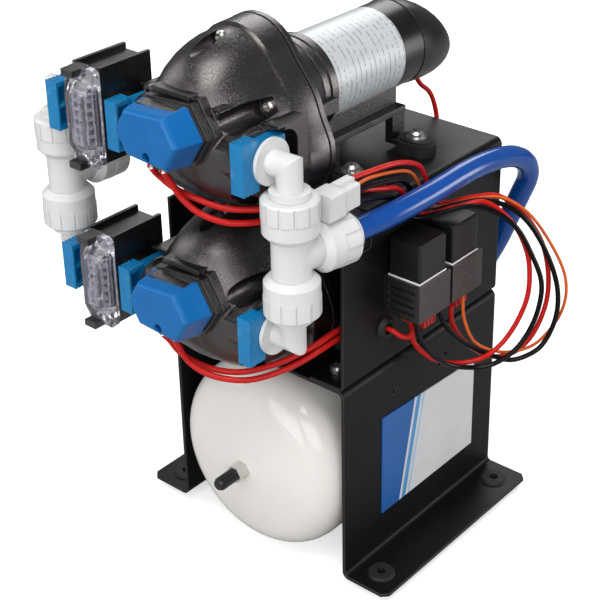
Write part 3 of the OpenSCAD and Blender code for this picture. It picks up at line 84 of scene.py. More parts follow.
world = bpy.data.worlds.new("pale_room")
scene.world = world
world.use_nodes = True
room = world.node_tree
room.nodes.clear()
rays = add(room, "LightPath")
seen = add(room, "Math", {0: rays.outputs["Is Camera Ray"], 1: rays.outputs["Is Transmission Ray"]},
           operation="MAXIMUM")
shine = add(room, "Math", {0: rays.outputs["Is Glossy Ray"], 1: 0.1, 2: seen.outputs[0]},
            operation="MULTIPLY_ADD", use_clamp=True)
glow = add(room, "Background", {"Color": linear("#f4f6fa"), "Strength": 0.1})
white = add(room, "Background", {"Color": (1, 1, 1, 1), "Strength": 1.0})
both = add(room, "MixShader", {0: shine.outputs[0], 1: glow.outputs[0], 2: white.outputs[0]})
add(room, "OutputWorld", {"Surface": both.outputs[0]})

table_radius, table_sides = 12, 64
table_mesh = bpy.data.meshes.new("table")
turns = [math.tau * side / table_sides for side in range(table_sides)]
outline = [(table_radius * math.cos(turn), table_radius * math.sin(turn), 0.0) for turn in turns]
table_mesh.from_pydata(outline, [], [list(range(table_sides))])
table = bpy.data.objects.new("table", table_mesh)
scene.collection.objects.link(table)
matt_board = bpy.data.materials.new("matt_board")
matt_board.use_nodes = True
tree = matt_board.node_tree
tree.nodes.clear()
rays = add(tree, "LightPath")
board = add(tree, "BsdfDiffuse", {"Color": linear("#f2f2f2")})
place = add(tree, "TexCoord").outputs["Object"]
away = add(tree, "VectorMath", {0: place}, operation="LENGTH")
fade = add(tree, "MapRange", {0: away.outputs["Value"], 1: 0.5, 2: 2.5, 3: 0.55, 4: 1.0})
lift = add(tree, "Emission", {"Color": (1, 1, 1, 1), "Strength": fade.outputs[0]})
both = add(tree, "AddShader", {0: board.outputs[0], 1: lift.outputs[0]})
shaded = add(tree, "BsdfDiffuse", {"Color": linear("#b4b4b4")})
mixed = add(tree, "MixShader", {0: rays.outputs["Is Camera Ray"], 1: shaded.outputs[0],
                                2: both.outputs[0]})
add(tree, "OutputMaterial", {"Surface": mixed.outputs[0]})
table_mesh.materials.append(matt_board)

for name, place, target, size, power in (
    ("key_lamp", (0.4, -0.6, 1.85), (0.0, -0.05, 0.25), 1.1, 21.5),
    ("front_lamp", (0.1, -2.0, 0.75), (0.0, -0.1, 0.2), 1.3, 17),
    ("right_lamp", (1.3, -1.2, 0.9), (0.0, -0.05, 0.2), 1.0, 10),
    ("side_lamp", (1.2, 0.95, 0.32), (0.05, -0.05, 0.26), 0.6, 7.5),
    ("left_lamp", (-1.4, -0.7, 1.0), (0.0, -0.05, 0.25), 1.0, 7),
    ("back_lamp", (-0.8, 1.3, 1.3), (0.0, 0.0, 0.25), 1.0, 12),
):
    lamp = bpy.data.lights.new(name, "AREA")
    lamp.size = size
    lamp.energy = power
    holder = bpy.data.objects.new(name, lamp)
    holder.location = place
    holder.rotation_euler = (Vector(target) - Vector(place)).to_track_quat("-Z", "Y").to_euler()
    scene.collection.objects.link(holder)

# The stand: two bent sheets of mild steel, punched, folded and powder coated satin black.
# Baked powder leaves a fine orange peel of about 1.2 mm; bends get a painted paler highlight.
def material(name):
    """A new material: its node tree and its empty main shader."""
    made = bpy.data.materials.new(name)
    made.use_nodes = True
    made.node_tree.nodes.clear()
    shader = add(made.node_tree, "BsdfPrincipled")
    add(made.node_tree, "OutputMaterial", {"Surface": shader.outputs[0]})
    return made, made.node_tree, shader


def dress(finish, *names):
    """Gives CAD nodes their finish."""
    for name in names:
        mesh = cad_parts[name].data
        mesh.materials.clear()
        mesh.materials.append(finish)


peel_size, cloud_size, bend_radius = 1.2, 36, 1.8  # mm
powder_coat, tree, shader = material("powder_coated_steel")
place = add(tree, "TexCoord").outputs["Object"]
peel = add(tree, "TexNoise", {"Vector": place, "Scale": 1000 / peel_size, "Detail": 2.0})
cloud = add(tree, "TexNoise", {"Vector": place, "Scale": 1000 / cloud_size, "Detail": 4.0})
rounded_bend = add(tree, "Bevel", {"Radius": bend_radius / 1000}, samples=6)
face = add(tree, "NewGeometry").outputs["Normal"]
bend = add(tree, "VectorMath", {0: rounded_bend.outputs[0], 1: face}, operation="DOT_PRODUCT")
# A painted highlight: along each fold the bends are drawn a paler colour.
painted_bend_highlight = add(tree, "MapRange", {0: bend.outputs["Value"], 1: 0.99, 2: 0.86, 3: 0.0, 4: 0.55})
tone = add(tree, "Mix", {0: cloud.outputs[0], 6: linear("#0a0809"), 7: linear("#131011")},
           data_type="RGBA")
shade = add(tree, "Mix", {0: painted_bend_highlight.outputs[0], 6: tone.outputs[2], 7: linear("#5a5656")},
            data_type="RGBA")
rough = add(tree, "MapRange", {0: cloud.outputs[0], 3: 0.38, 4: 0.52})
bump = add(tree, "Bump", {"Height": peel.outputs[0], "Strength": 0.22, "Distance": 0.0003,
                          "Normal": rounded_bend.outputs[0]})
shader.inputs["Specular IOR Level"].default_value = 0.2
for name, value in (("Base Color", shade.outputs[2]), ("Roughness", rough.outputs[0]),
                    ("Normal", bump.outputs[0])):
    tree.links.new(value, shader.inputs[name])
dress(powder_coat, "lower_stand", "upper_stand")

# The rubber pieces: feet with a screw hole, oval pump mounts, the cable bush and the diaphragms.
# They are moulded in matt black rubber, with a dusty bloom in patches of about 6 mm.
dust_size = 6  # mm
moulded_rubber, tree, shader = material("moulded_rubber")
place = add(tree, "TexCoord").outputs["Object"]
dust = add(tree, "TexNoise", {"Vector": place, "Scale": 1000 / dust_size, "Detail": 5.0})
tone = add(tree, "Mix", {0: dust.outputs[0], 6: linear("#0e0d0d"), 7: linear("#211f1f")},
           data_type="RGBA")
bump = add(tree, "Bump", {"Height": dust.outputs[0], "Strength": 0.12, "Distance": 0.0004})
shader.inputs["Roughness"].default_value = 0.68
tree.links.new(tone.outputs[2], shader.inputs["Base Color"])
tree.links.new(bump.outputs[0], shader.inputs["Normal"])
dress(moulded_rubber, "stand_feet", "mount_rubbers", "harness_bush", "diaphragms")

# The screws, the tank's air valve and the motor shafts: headed or turned, then zinc plated.
# The plate is bright, and its shine is uneven in patches of about 3 mm.
stain_size = 3.3  # mm
zinc_plate, tree, shader = material("zinc_plated_steel")
place = add(tree, "TexCoord").outputs["Object"]
stain = add(tree, "TexNoise", {"Vector": place, "Scale": 1000 / stain_size, "Detail": 3.0})
rough = add(tree, "MapRange", {0: stain.outputs[0], 3: 0.2, 4: 0.42})
shader.inputs["Base Color"].default_value = linear("#d6d5d2")
shader.inputs["Metallic"].default_value = 1.0
tree.links.new(rough.outputs[0], shader.inputs["Roughness"])
dress(zinc_plate, "stand_screws", "tank_air_valve", "head_screws", "mount_screws", "upper_rotor",
      "lower_rotor")

# The pressure tank: two drawn steel shells welded at the seam and enamelled creamy white.
# The enamel is glossy, with a slow ripple of about 22 mm.
ripple_size = 22  # mm
tank_enamel, tree, shader = material("gloss_enamel")
place = add(tree, "TexCoord").outputs["Object"]
ripple = add(tree, "TexNoise", {"Vector": place, "Scale": 1000 / ripple_size, "Detail": 2.0})
tone = add(tree, "Mix", {0: ripple.outputs[0], 6: linear("#eae6e0"), 7: linear("#f0ede8")},
           data_type="RGBA")
bump = add(tree, "Bump", {"Height": ripple.outputs[0], "Strength": 0.06, "Distance": 0.002})
shader.inputs["Roughness"].default_value = 0.1
shader.inputs["Specular IOR Level"].default_value = 0.45
tree.links.new(tone.outputs[2], shader.inputs["Base Color"])
tree.links.new(bump.outputs[0], shader.inputs["Normal"])
dress(tank_enamel, "tank_front_shell", "tank_rear_shell")

# The pump bodies: glass-filled nylon mouldings, bell-shaped heads on three-cornered rims.
# The mould was spark-eroded, so highlights break into bright grains. The pebbles are drawn 0.8 mm
# wide, somewhat coarser than real ones, so that they show.
def rounded_look(name, angle):
    """Shades a lofted node smooth, with its edges kept sharp above an angle in degrees."""
    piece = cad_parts[name]
    custom = piece.data.attributes.get("custom_normal")
    if custom:
        piece.data.attributes.remove(custom)
    piece.data.polygons.foreach_set("use_smooth", [True] * len(piece.data.polygons))
    weld = piece.modifiers.new("weld", "WELD")
    weld.merge_threshold = 0.00002
    split = piece.modifiers.new("edges", "EDGE_SPLIT")
    split.split_angle = math.radians(angle)


pebble_size, flow_size, mould_edge = 0.8, 25, 0.8  # mm
grained_nylon, tree, shader = material("glass_filled_nylon")
place = add(tree, "TexCoord").outputs["Object"]
grain = add(tree, "TexVoronoi", {"Vector": place, "Scale": 1000 / pebble_size})
cloud = add(tree, "TexNoise", {"Vector": place, "Scale": 1000 / flow_size, "Detail": 3.0})
fleck = add(tree, "MapRange", {0: grain.outputs["Distance"], 1: 0.45, 2: 0.1})
tone = add(tree, "Mix", {0: cloud.outputs[0], 6: linear("#060505"), 7: linear("#0d0b0a")},
           data_type="RGBA")
speck = add(tree, "Mix", {0: fleck.outputs[0], 6: tone.outputs[2], 7: linear("#171413")},
            data_type="RGBA")
rough = add(tree, "MapRange", {0: fleck.outputs[0], 3: 0.32, 4: 0.22})
edge = add(tree, "Bevel", {"Radius": mould_edge / 1000}, samples=4)
bump = add(tree, "Bump", {"Height": fleck.outputs[0], "Strength": 0.3, "Distance": 0.0003,
                          "Normal": edge.outputs[0]})
shader.inputs["IOR"].default_value = 1.6
shader.inputs["Specular IOR Level"].default_value = 1.0
shader.inputs["Specular Tint"].default_value = linear("#fff7f5")
for name, value in (("Base Color", speck.outputs[2]), ("Roughness", rough.outputs[0]),
                    ("Normal", bump.outputs[0])):
    tree.links.new(value, shader.inputs[name])
bells = ("upper_head", "lower_head", "upper_rear_housing", "lower_rear_housing")
dress(grained_nylon, *bells, "tank_saddle", "upper_cradle", "lower_cradle", "upper_switch_base",
      "lower_switch_base", "upper_strainer_body", "lower_strainer_body", "wobble_plates",
      "relay_socket")
for name in bells:
    rounded_look(name, 28)

# The motor end caps, relay cases and valve cap: black ABS mouldings, pressed on at the rim.
# The mould is polished, and handling leaves a faint haze in patches of about 17 mm.
haze_size = 17  # mm
gloss_abs, tree, shader = material("polished_abs")
place = add(tree, "TexCoord").outputs["Object"]
haze = add(tree, "TexNoise", {"Vector": place, "Scale": 1000 / haze_size, "Detail": 4.0})
rough = add(tree, "MapRange", {0: haze.outputs[0], 3: 0.28, 4: 0.42})
edge = add(tree, "Bevel", {"Radius": mould_edge / 1000}, samples=4)
shader.inputs["Base Color"].default_value = linear("#151315")
shader.inputs["Specular IOR Level"].default_value = 0.45
tree.links.new(rough.outputs[0], shader.inputs["Roughness"])
tree.links.new(edge.outputs[0], shader.inputs["Normal"])
end_caps = ("upper_end_cap", "lower_end_cap")
dress(gloss_abs, *end_caps, "tank_valve_cap", "front_relay", "rear_relay")
for name in end_caps:
    rounded_look(name, 40)

# The motor cans: rolled steel painted black, each wrapped in a satin white label that stops short
# of the rear end. The label has plain grey rules 5 mm apart, broken where the ink is thin.
label_end, film_haze = 36, 14  # mm
rule_pitch, rule_width, rule_side, gap_size = 5, 0.8, 5, 3  # mm
can_label, tree, shader = material("label_on_painted_steel")
place = add(tree, "TexCoord").outputs["Object"]
axes = add(tree, "SeparateXYZ", {0: place})
haze = add(tree, "TexNoise", {"Vector": place, "Scale": 1000 / film_haze, "Detail": 3.0})
tone = add(tree, "Mix", {0: haze.outputs[0], 6: linear("#c3c8ca"), 7: linear("#cdd1d3")},
           data_type="RGBA")
along = add(tree, "Math", {0: axes.outputs[1], 1: rule_pitch / 2000}, operation="PINGPONG")
rule = add(tree, "Math", {0: along.outputs[0], 1: rule_width / 2000}, operation="LESS_THAN")
thin = add(tree, "TexNoise", {"Vector": place, "Scale": 1000 / gap_size, "Detail": 1.0})
broken = add(tree, "Math", {0: thin.outputs[0], 1: 0.47}, operation="GREATER_THAN")
facing = add(tree, "Math", {0: axes.outputs[0], 1: rule_side / 1000}, operation="GREATER_THAN")
inked = add(tree, "Math", {0: rule.outputs[0], 1: broken.outputs[0]}, operation="MULTIPLY")
ink = add(tree, "Math", {0: inked.outputs[0], 1: facing.outputs[0]}, operation="MULTIPLY")
label = add(tree, "Mix", {0: ink.outputs[0], 6: tone.outputs[2], 7: linear("#84898c")},
            data_type="RGBA")
bare = add(tree, "Math", {0: axes.outputs[1], 1: label_end / 1000}, operation="GREATER_THAN")
skin = add(tree, "Mix", {0: bare.outputs[0], 6: label.outputs[2], 7: linear("#0f0d0e")},
           data_type="RGBA")
shader.inputs["Roughness"].default_value = 0.3
tree.links.new(skin.outputs[2], shader.inputs["Base Color"])
dress(can_label, "upper_motor_can", "lower_motor_can")

# The side panel: a printed vinyl sheet glued to the stand, white with slanted bands of blue.
# The ink is part of the film, so the whole sheet has one even satin shine.
band_slant, band_reach = 0.22, 25  # slope of the bands, and mm that they run past the edge
film_white = "#e2e3e5"
printed_vinyl, tree, shader = material("printed_vinyl")
panel_low, panel_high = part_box("side_panel")
place = add(tree, "TexCoord").outputs["Object"]
axes = add(tree, "SeparateXYZ", {0: place})
haze = add(tree, "TexNoise", {"Vector": place, "Scale": 1000 / film_haze, "Detail": 3.0})
slant = add(tree, "Math", {0: axes.outputs[2], 1: -band_slant, 2: axes.outputs[1]},
            operation="MULTIPLY_ADD")
across = add(tree, "MapRange", {0: slant.outputs[0], 1: panel_low[1] - band_reach / 1000,
                                2: panel_high[1]})
bands = add(tree, "ValToRGB", {0: across.outputs[0]})
bands.color_ramp.interpolation = "CONSTANT"
bands.color_ramp.elements[0].color = linear("#1b62ae")
bands.color_ramp.elements[1].position = 0.27
bands.color_ramp.elements[1].color = linear(film_white)
for stop, ink in ((0.29, "#4f9ad6"), (0.325, film_white), (0.345, "#a9cdea"), (0.36, film_white)):
    bands.color_ramp.elements.new(stop).color = linear(ink)
tone = add(tree, "Mix", {0: haze.outputs[0], 6: bands.outputs[0], 7: linear("#f0f0f0")},
           data_type="RGBA", blend_type="MULTIPLY")
shader.inputs["Roughness"].default_value = 0.36
tree.links.new(tone.outputs[2], shader.inputs["Base Color"])
dress(printed_vinyl, "side_panel")

# The switch covers: blue acetal mouldings, each snapped over its switch base.
# A grit of about 1 mm on the mould gives them a soft, even shine.
grit_size, swirl_size, cover_edge = 1.1, 11, 1.5  # mm
blue_acetal, tree, shader = material("blue_acetal")
place = add(tree, "TexCoord").outputs["Object"]
flow = add(tree, "TexNoise", {"Vector": place, "Scale": 1000 / swirl_size, "Detail": 3.0})
tone = add(tree, "Mix", {0: flow.outputs[0], 6: linear("#085ea2"), 7: linear("#106cb0")},
           data_type="RGBA")
edge = add(tree, "Bevel", {"Radius": cover_edge / 1000}, samples=6)
grit = add(tree, "TexNoise", {"Vector": place, "Scale": 1000 / grit_size, "Detail": 1.0})
bump = add(tree, "Bump", {"Height": grit.outputs[0], "Strength": 0.16, "Distance": 0.0003,
                          "Normal": edge.outputs[0]})
shader.inputs["Roughness"].default_value = 0.34
shader.inputs["Specular IOR Level"].default_value = 0.3
tree.links.new(tone.outputs[2], shader.inputs["Base Color"])
tree.links.new(bump.outputs[0], shader.inputs["Normal"])
dress(blue_acetal, "upper_switch_cover", "lower_switch_cover")

# The slide clips: sky-blue acetal, rubbed pale in patches of some 8 mm where thumbs push them.
# Each clip is cored out from one side to an even wall, with a web across its middle.
scuff_size, clip_edge = 8, 0.7  # mm
sky_acetal, tree, shader = material("sky_blue_acetal")
place = add(tree, "TexCoord").outputs["Object"]
flow = add(tree, "TexNoise", {"Vector": place, "Scale": 1000 / swirl_size, "Detail": 3.0})
scuff = add(tree, "TexNoise", {"Vector": place, "Scale": 1000 / scuff_size, "Detail": 6.0,
                               "Roughness": 0.7})
rubbed = add(tree, "MapRange", {0: scuff.outputs[0], 1: 0.56, 2: 0.76, 3: 0.0, 4: 0.6})
tone = add(tree, "Mix", {0: flow.outputs[0], 6: linear("#0670a8"), 7: linear("#1082bc")},
           data_type="RGBA")
pale = add(tree, "Mix", {0: rubbed.outputs[0], 6: tone.outputs[2], 7: linear("#7fb4d4")},
           data_type="RGBA")
edge = add(tree, "Bevel", {"Radius": clip_edge / 1000}, samples=4)
shader.inputs["Roughness"].default_value = 0.28
shader.inputs["Specular IOR Level"].default_value = 0.4
tree.links.new(pale.outputs[2], shader.inputs["Base Color"])
tree.links.new(edge.outputs[0], shader.inputs["Normal"])


def carved(name, node, body, finish, pockets):
    """A copy of a CAD piece with soft-edged pockets, in mm, which stands for that piece."""
    pocket_edge, seam = 0.0005, 0.000002
    block = bmesh.new()
    for low, high in pockets:
        middle = [(a + b) / 2000 for a, b in zip(low, high)]
        span = [(b - a) / 1000 for a, b in zip(low, high)]
        cube = bmesh.ops.create_cube(block, size=1.0)["verts"]
        for vert in cube:
            vert.co = Vector([c + s * v for c, s, v in zip(middle, span, vert.co)])
        edges = list({edge for vert in cube for edge in vert.link_edges})
        bmesh.ops.bevel(block, geom=edges, offset=pocket_edge, segments=2, profile=0.5,
                        affect="EDGES")
    cutter = bpy.data.objects.new(name + "_cutter", bpy.data.meshes.new(name + "_cutter"))
    block.to_mesh(cutter.data)
    scene.collection.objects.link(cutter)
    whole = bmesh.new()
    whole.from_mesh(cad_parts[node].data)
    bmesh.ops.remove_doubles(whole, verts=whole.verts, dist=seam)
    piece = bpy.data.objects.new(name, bpy.data.meshes.new(name))
    whole.to_mesh(piece.data)
    scene.collection.objects.link(piece)
    cut = piece.modifiers.new("cut", "BOOLEAN")
    cut.object = cutter
    cut.solver = "EXACT"
    scene_now = bpy.context.evaluated_depsgraph_get()
    piece.data = bpy.data.meshes.new_from_object(piece.evaluated_get(scene_now))
    piece.modifiers.clear()
    bpy.data.objects.remove(cutter)
    piece.data.materials.clear()
    piece.data.materials.append(finish)
    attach(piece, body)
    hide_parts(node)


clip_wall, web, pocket_depth, bar_depth = 1.6, 1.0, 7.5, 13  # mm
for node, open_side in (("upper_inlet_clip", 1), ("lower_inlet_clip", 1),
                        ("upper_strainer_clip", 1), ("lower_strainer_clip", 1),
                        ("upper_outlet_clip", -1), ("lower_outlet_clip", -1)):
    low, high = [[v * 1000 for v in corner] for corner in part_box(node)]
    middle = (low[2] + high[2]) / 2
    mouth = (low[0] - 1, low[0] + pocket_depth)
    if open_side > 0:
        mouth = (high[0] - pocket_depth, high[0] + 1)
    bar_front, bar_back = low[1] + clip_wall, low[1] + bar_depth - clip_wall
    carved(node + "_shell", node, node, sky_acetal, [
        ((mouth[0], bar_front, middle + web), (mouth[1], bar_back, high[2] - 2 * clip_wall)),
        ((mouth[0], bar_front, low[2] + 2 * clip_wall), (mouth[1], bar_back, middle - web)),
    ])

# The strainer screens: stainless mesh woven from 0.4 mm wire at a pitch of about 1.2 mm.
# The pattern is turned by 45 degrees, so that its upright wires show on the front and on the sides.
mesh_pitch = 1.2  # mm
woven_mesh, tree, shader = material("woven_stainless_mesh")
place = add(tree, "TexCoord").outputs["Object"]
turned = add(tree, "Mapping", {"Vector": place,
                               "Rotation": (0.0, 0.0, math.radians(45))}).outputs[0]
waves = math.tau / 20 * 1000 / mesh_pitch  # a wave texture has 20 radians to the unit
wires = [add(tree, "TexWave", {"Vector": turned, "Scale": scale}, wave_type="BANDS",
             bands_direction=axis).outputs["Fac"]
         for axis, scale in (("X", waves * math.sqrt(2)), ("Z", waves))]
weave = add(tree, "Math", {0: wires[0], 1: wires[1]}, operation="MAXIMUM")
wire = add(tree, "MapRange", {0: weave.outputs[0], 1: 0.6, 2: 0.9})
tone = add(tree, "Mix", {0: wire.outputs[0], 6: linear("#0b0a0c"), 7: linear("#5c5860")},
           data_type="RGBA")
shader.inputs["Metallic"].default_value = 0.6
shader.inputs["Roughness"].default_value = 0.4
tree.links.new(tone.outputs[2], shader.inputs["Base Color"])
dress(woven_mesh, "strainer_screens")

# The strainer covers: clear polycarbonate mouldings with a faint violet cast and a lattice of ribs
# moulded in behind the front, which keeps the screen in place. The ribs are drawn near white, as
# painted glints in the clear plastic.
wave_size, glint_mottle_size, glass_edge = 5.3, 4, 1.2  # mm
clear_cover, tree, shader = material("clear_polycarbonate")
place = add(tree, "TexCoord").outputs["Object"]
wave = add(tree, "TexNoise", {"Vector": place, "Scale": 1000 / wave_size, "Detail": 1.0})
edge = add(tree, "Bevel", {"Radius": glass_edge / 1000}, samples=4)
bump = add(tree, "Bump", {"Height": wave.outputs[0], "Strength": 0.5, "Distance": 0.001,
                          "Normal": edge.outputs[0]})
shader.inputs["Base Color"].default_value = linear("#e0dde8")
shader.inputs["Roughness"].default_value = 0.03
shader.inputs["IOR"].default_value = 1.58
shader.inputs["Transmission Weight"].default_value = 0.95
tree.links.new(bump.outputs[0], shader.inputs["Normal"])
dress(clear_cover, "upper_strainer_cover", "lower_strainer_cover")
# The ribs' pale colour is a painted glint, the bright streaks that light makes in clear ribs.
painted_glint_rib, tree, shader = material("rib_polycarbonate_painted_glint")
place = add(tree, "TexCoord").outputs["Object"]
glint_mottle = add(tree, "TexNoise", {"Vector": place, "Scale": 1000 / glint_mottle_size, "Detail": 3.0})
tone = add(tree, "Mix", {0: glint_mottle.outputs[0], 6: linear("#cbc7d4"), 7: linear("#ffffff")},
           data_type="RGBA")
shader.inputs["Roughness"].default_value = 0.2
shader.inputs["Transmission Weight"].default_value = 0.1
tree.links.new(tone.outputs[2], shader.inputs["Base Color"])
rib, rib_edge, rib_depth, rib_gap = 1.1, 0.3, 5.5, 0.4  # mm
basket_width, basket_end = 10.5, 15  # mm
for level in ("upper", "lower"):
    low, high = [[v * 1000 for v in corner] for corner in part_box(level + "_strainer_cover")]
    middle, reach = (low[2] + high[2]) / 2, (high[2] - low[2]) / 2 - basket_end
    across = (low[0] + high[0]) / 2
    back = high[1] - rib_gap
    edge_x, rows = basket_width / 2 - rib / 2, (back - rib_depth + rib / 2, back - rib / 2)
    bars = [((across + x, y, middle), (rib, rib, 2 * reach))
            for x in (-edge_x, 0, edge_x) for y in rows]
    bars += [((across, back - rib_depth / 2, middle + reach * k / 3),
              (basket_width, rib_depth, rib)) for k in range(-3, 4)]
    lattice = bmesh.new()
    for spot, span in bars:
        cube = bmesh.ops.create_cube(lattice, size=1.0)["verts"]
        for vert in cube:
            vert.co = Vector([c + w * v for c, w, v in zip(spot, span, vert.co)]) / 1000
        edges = list({edge for vert in cube for edge in vert.link_edges})
        bmesh.ops.bevel(lattice, geom=edges, offset=rib_edge / 1000, segments=1, profile=0.5,
                        affect="EDGES")
    name = level + "_strainer_ribs"
    ribs = bpy.data.objects.new(name, bpy.data.meshes.new(name))
    lattice.to_mesh(ribs.data)
    ribs.data.materials.append(painted_glint_rib)
    scene.collection.objects.link(ribs)
    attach(ribs, level + "_strainer_cover")

# The push-fit fittings: white acetal tees, elbows, collar nuts and release rings, and the wiring
# connector. Each is a moulding with a soft shine; the nuts screw on and the pipe is pushed in.
white_acetal, tree, shader = material("white_acetal")
place = add(tree, "TexCoord").outputs["Object"]
flow = add(tree, "TexNoise", {"Vector": place, "Scale": 1000 / haze_size, "Detail": 3.0})
tone = add(tree, "Mix", {0: flow.outputs[0], 6: linear("#d5d6d5"), 7: linear("#e0e0de")},
           data_type="RGBA")
edge = add(tree, "Bevel", {"Radius": mould_edge / 1000}, samples=4)
bump = add(tree, "Bump", {"Height": flow.outputs[0], "Strength": 0.04, "Distance": 0.0008,
                          "Normal": edge.outputs[0]})
shader.inputs["Roughness"].default_value = 0.36
shader.inputs["Specular IOR Level"].default_value = 0.3
tree.links.new(tone.outputs[2], shader.inputs["Base Color"])
tree.links.new(bump.outputs[0], shader.inputs["Normal"])
dress(white_acetal, "tank_elbow", "port_elbows", "outlet_tee", "inlet_tee", "collar_nuts",
      "release_rings", "valve_plates", "connector_plug", "connector_socket")

# The relay seals: a thin bead of white silicone round the foot of each relay case,
# squeezed out where the case sits on its socket.
smear_size = 2.5  # mm
white_silicone, tree, shader = material("white_silicone")
place = add(tree, "TexCoord").outputs["Object"]
flow = add(tree, "TexNoise", {"Vector": place, "Scale": 1000 / smear_size, "Detail": 2.0})
tone = add(tree, "Mix", {0: flow.outputs[0], 6: linear("#c9c8c6"), 7: linear("#ecebe8")},
           data_type="RGBA")
shader.inputs["Roughness"].default_value = 0.5
tree.links.new(tone.outputs[2], shader.inputs["Base Color"])
seal_mesh = bmesh.new()
bead = [(0.0, -0.2), (0.35, 0.0), (0.45, 0.5), (0.3, 1.0), (0.0, 1.2)]  # mm out, mm up
corner_sides = 4
for name in ("front_relay", "rear_relay"):
    low, high = [[v * 1000 for v in corner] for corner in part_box(name)]
    loops = []
    for out, up in bead:
        loop = []
        corners = ((high[0], high[1]), (low[0], high[1]), (low[0], low[1]), (high[0], low[1]))
        for k, (x, y) in enumerate(corners):
            for j in range(corner_sides + 1):
                angle = math.radians(90 * k + 90 * j / corner_sides)
                spot = (x + out * math.cos(angle), y + out * math.sin(angle), low[2] + up)
                loop.append(seal_mesh.verts.new(Vector(spot) / 1000))
        loops.append(loop)
    count = len(loops[0])
    for a, b in zip(loops, loops[1:]):
        for j in range(count):
            seal_mesh.faces.new((a[j], a[(j + 1) % count], b[(j + 1) % count], b[j]))
seals = bpy.data.objects.new("relay_seals", bpy.data.meshes.new("relay_seals"))
seal_mesh.to_mesh(seals.data)
seals.data.materials.append(white_silicone)
seals.data.shade_smooth()
scene.collection.objects.link(seals)
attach(seals, "stand")

# The relay locks: small red nylon combs under the socket, slit so that their teeth spring
# against the terminals.
streak_size = 7  # mm
red_nylon, tree, shader = material("red_nylon")
place = add(tree, "TexCoord").outputs["Object"]
flow = add(tree, "TexNoise", {"Vector": place, "Scale": 1000 / streak_size, "Detail": 2.0})
tone = add(tree, "Mix", {0: flow.outputs[0], 6: linear("#a81512"), 7: linear("#c41d18")},
           data_type="RGBA")
shader.inputs["Roughness"].default_value = 0.4
tree.links.new(tone.outputs[2], shader.inputs["Base Color"])
low, high = [[v * 1000 for v in corner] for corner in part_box("relay_locks")]
lock_length, slit, tooth, comb_back = 12, 1.2, 2.4, 2.5  # mm
slits = []
for lock in (low[1], high[1] - lock_length):
    for k in range(3):
        begin = lock + tooth + k * (tooth + slit)
        slits.append(((low[0] - 1, begin, low[2] - 1),
                      (high[0] + 1, begin + slit, high[2] - comb_back)))
carved("relay_lock_combs", "relay_locks", "stand", red_nylon, slits)

# The hose: glossy blue nylon pipe from the outlet tee, back over the relays and down to the tank.
# It is extruded, cut to length and pushed into a fitting at both ends.
def route_points(points, steps):
    """Points of a smooth curve through a route in mm, in metres."""
    p = [Vector(q) / 1000 for q in points]
    out = []
    for k in range(len(p) - 1):
        a, b, c, d = p[max(k - 1, 0)], p[k], p[k + 1], p[min(k + 2, len(p) - 1)]
        for j in range(steps):
            s = j / steps
            out.append(0.5 * (2 * b + (c - a) * s + (2 * a - 5 * b + 4 * c - d) * s * s
                              + (3 * b - a - 3 * c + d) * s ** 3))
    return out + [p[-1]]


def lay_cord(name, points, radius, node, finish):
    """One round cord, in mm, that goes from the object back into the object."""
    line = route_points(points, 6)
    curve = bpy.data.curves.new(name, "CURVE")
    curve.dimensions = "3D"
    spline = curve.splines.new("POLY")
    spline.points.add(len(line) - 1)
    for point, q in zip(spline.points, line):
        point.co = (*q, 1)
    spline.use_smooth = True
    curve.bevel_depth = radius / 1000
    curve.bevel_resolution = 5
    curve.use_fill_caps = True
    curve.materials.append(finish)
    piece = bpy.data.objects.new(name, curve)
    scene.collection.objects.link(piece)
    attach(piece, "stand")
    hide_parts(node)


pipe_haze = 12.5  # mm
blue_pipe, tree, shader = material("blue_nylon_pipe")
place = add(tree, "TexCoord").outputs["Object"]
haze = add(tree, "TexNoise", {"Vector": place, "Scale": 1000 / pipe_haze, "Detail": 3.0})
tone = add(tree, "Mix", {0: haze.outputs[0], 6: linear("#104496"), 7: linear("#1853a6")},
           data_type="RGBA")
shader.inputs["Roughness"].default_value = 0.13
shader.inputs["Specular IOR Level"].default_value = 0.45
tree.links.new(tone.outputs[2], shader.inputs["Base Color"])
turn, lean = math.radians(10), math.radians(35)
branch = Vector((math.sin(turn), math.cos(turn), 0))
rise = Vector((math.sin(lean), 0, math.cos(lean)))
tee_centre, tee_reach, straight, pipe_radius = Vector((71, -128, 271)), 32, 24, 7.5  # mm
elbow_centre, elbow_reach, entry = Vector((0, 104, 73)), 30, 16  # mm
start = tee_centre + tee_reach * branch
end = elbow_centre + elbow_reach * rise
lay_cord("blue_hose_pipe", [
    start, start + straight * branch, (85, -50, 272), (88.5, -18, 274), (89, 15, 275),
    (89, 42, 274), (89, 65, 270.5), (89, 83, 264.5), (88.5, 97, 254.5), (85.5, 104.5, 241),
    (79, 106, 225), (72, 105.5, 207), (63, 105, 184), (50, 104, 157), end + straight * rise,
    end + entry * rise, end,
], pipe_radius, "blue_hose", blue_pipe)

# The harness: PVC-covered copper wires from the connector to the relay socket, in one loose loop.
# The PVC is extruded over the copper, so it has a nearly even colour and a soft shine.
tint_size, wire_radius, thin_radius, lead_radius = 8, 1.7, 1.1, 2.0  # mm
plug = Vector((78, -81.5, 297.2))  # back of the connector, mm
harness = {}
for name, dark, light in (("red", "#b81512", "#d22420"), ("black", "#050506", "#0b0b0c"),
                          ("orange", "#d0501c", "#e8702e")):
    pvc, tree, shader = material(name + "_pvc")
    place = add(tree, "TexCoord").outputs["Object"]
    flow = add(tree, "TexNoise", {"Vector": place, "Scale": 1000 / tint_size, "Detail": 2.0})
    tone = add(tree, "Mix", {0: flow.outputs[0], 6: linear(dark), 7: linear(light)},
               data_type="RGBA")
    shader.inputs["Roughness"].default_value = 0.24
    shader.inputs["Specular IOR Level"].default_value = 0.2
    tree.links.new(tone.outputs[2], shader.inputs["Base Color"])
    harness[name] = pvc
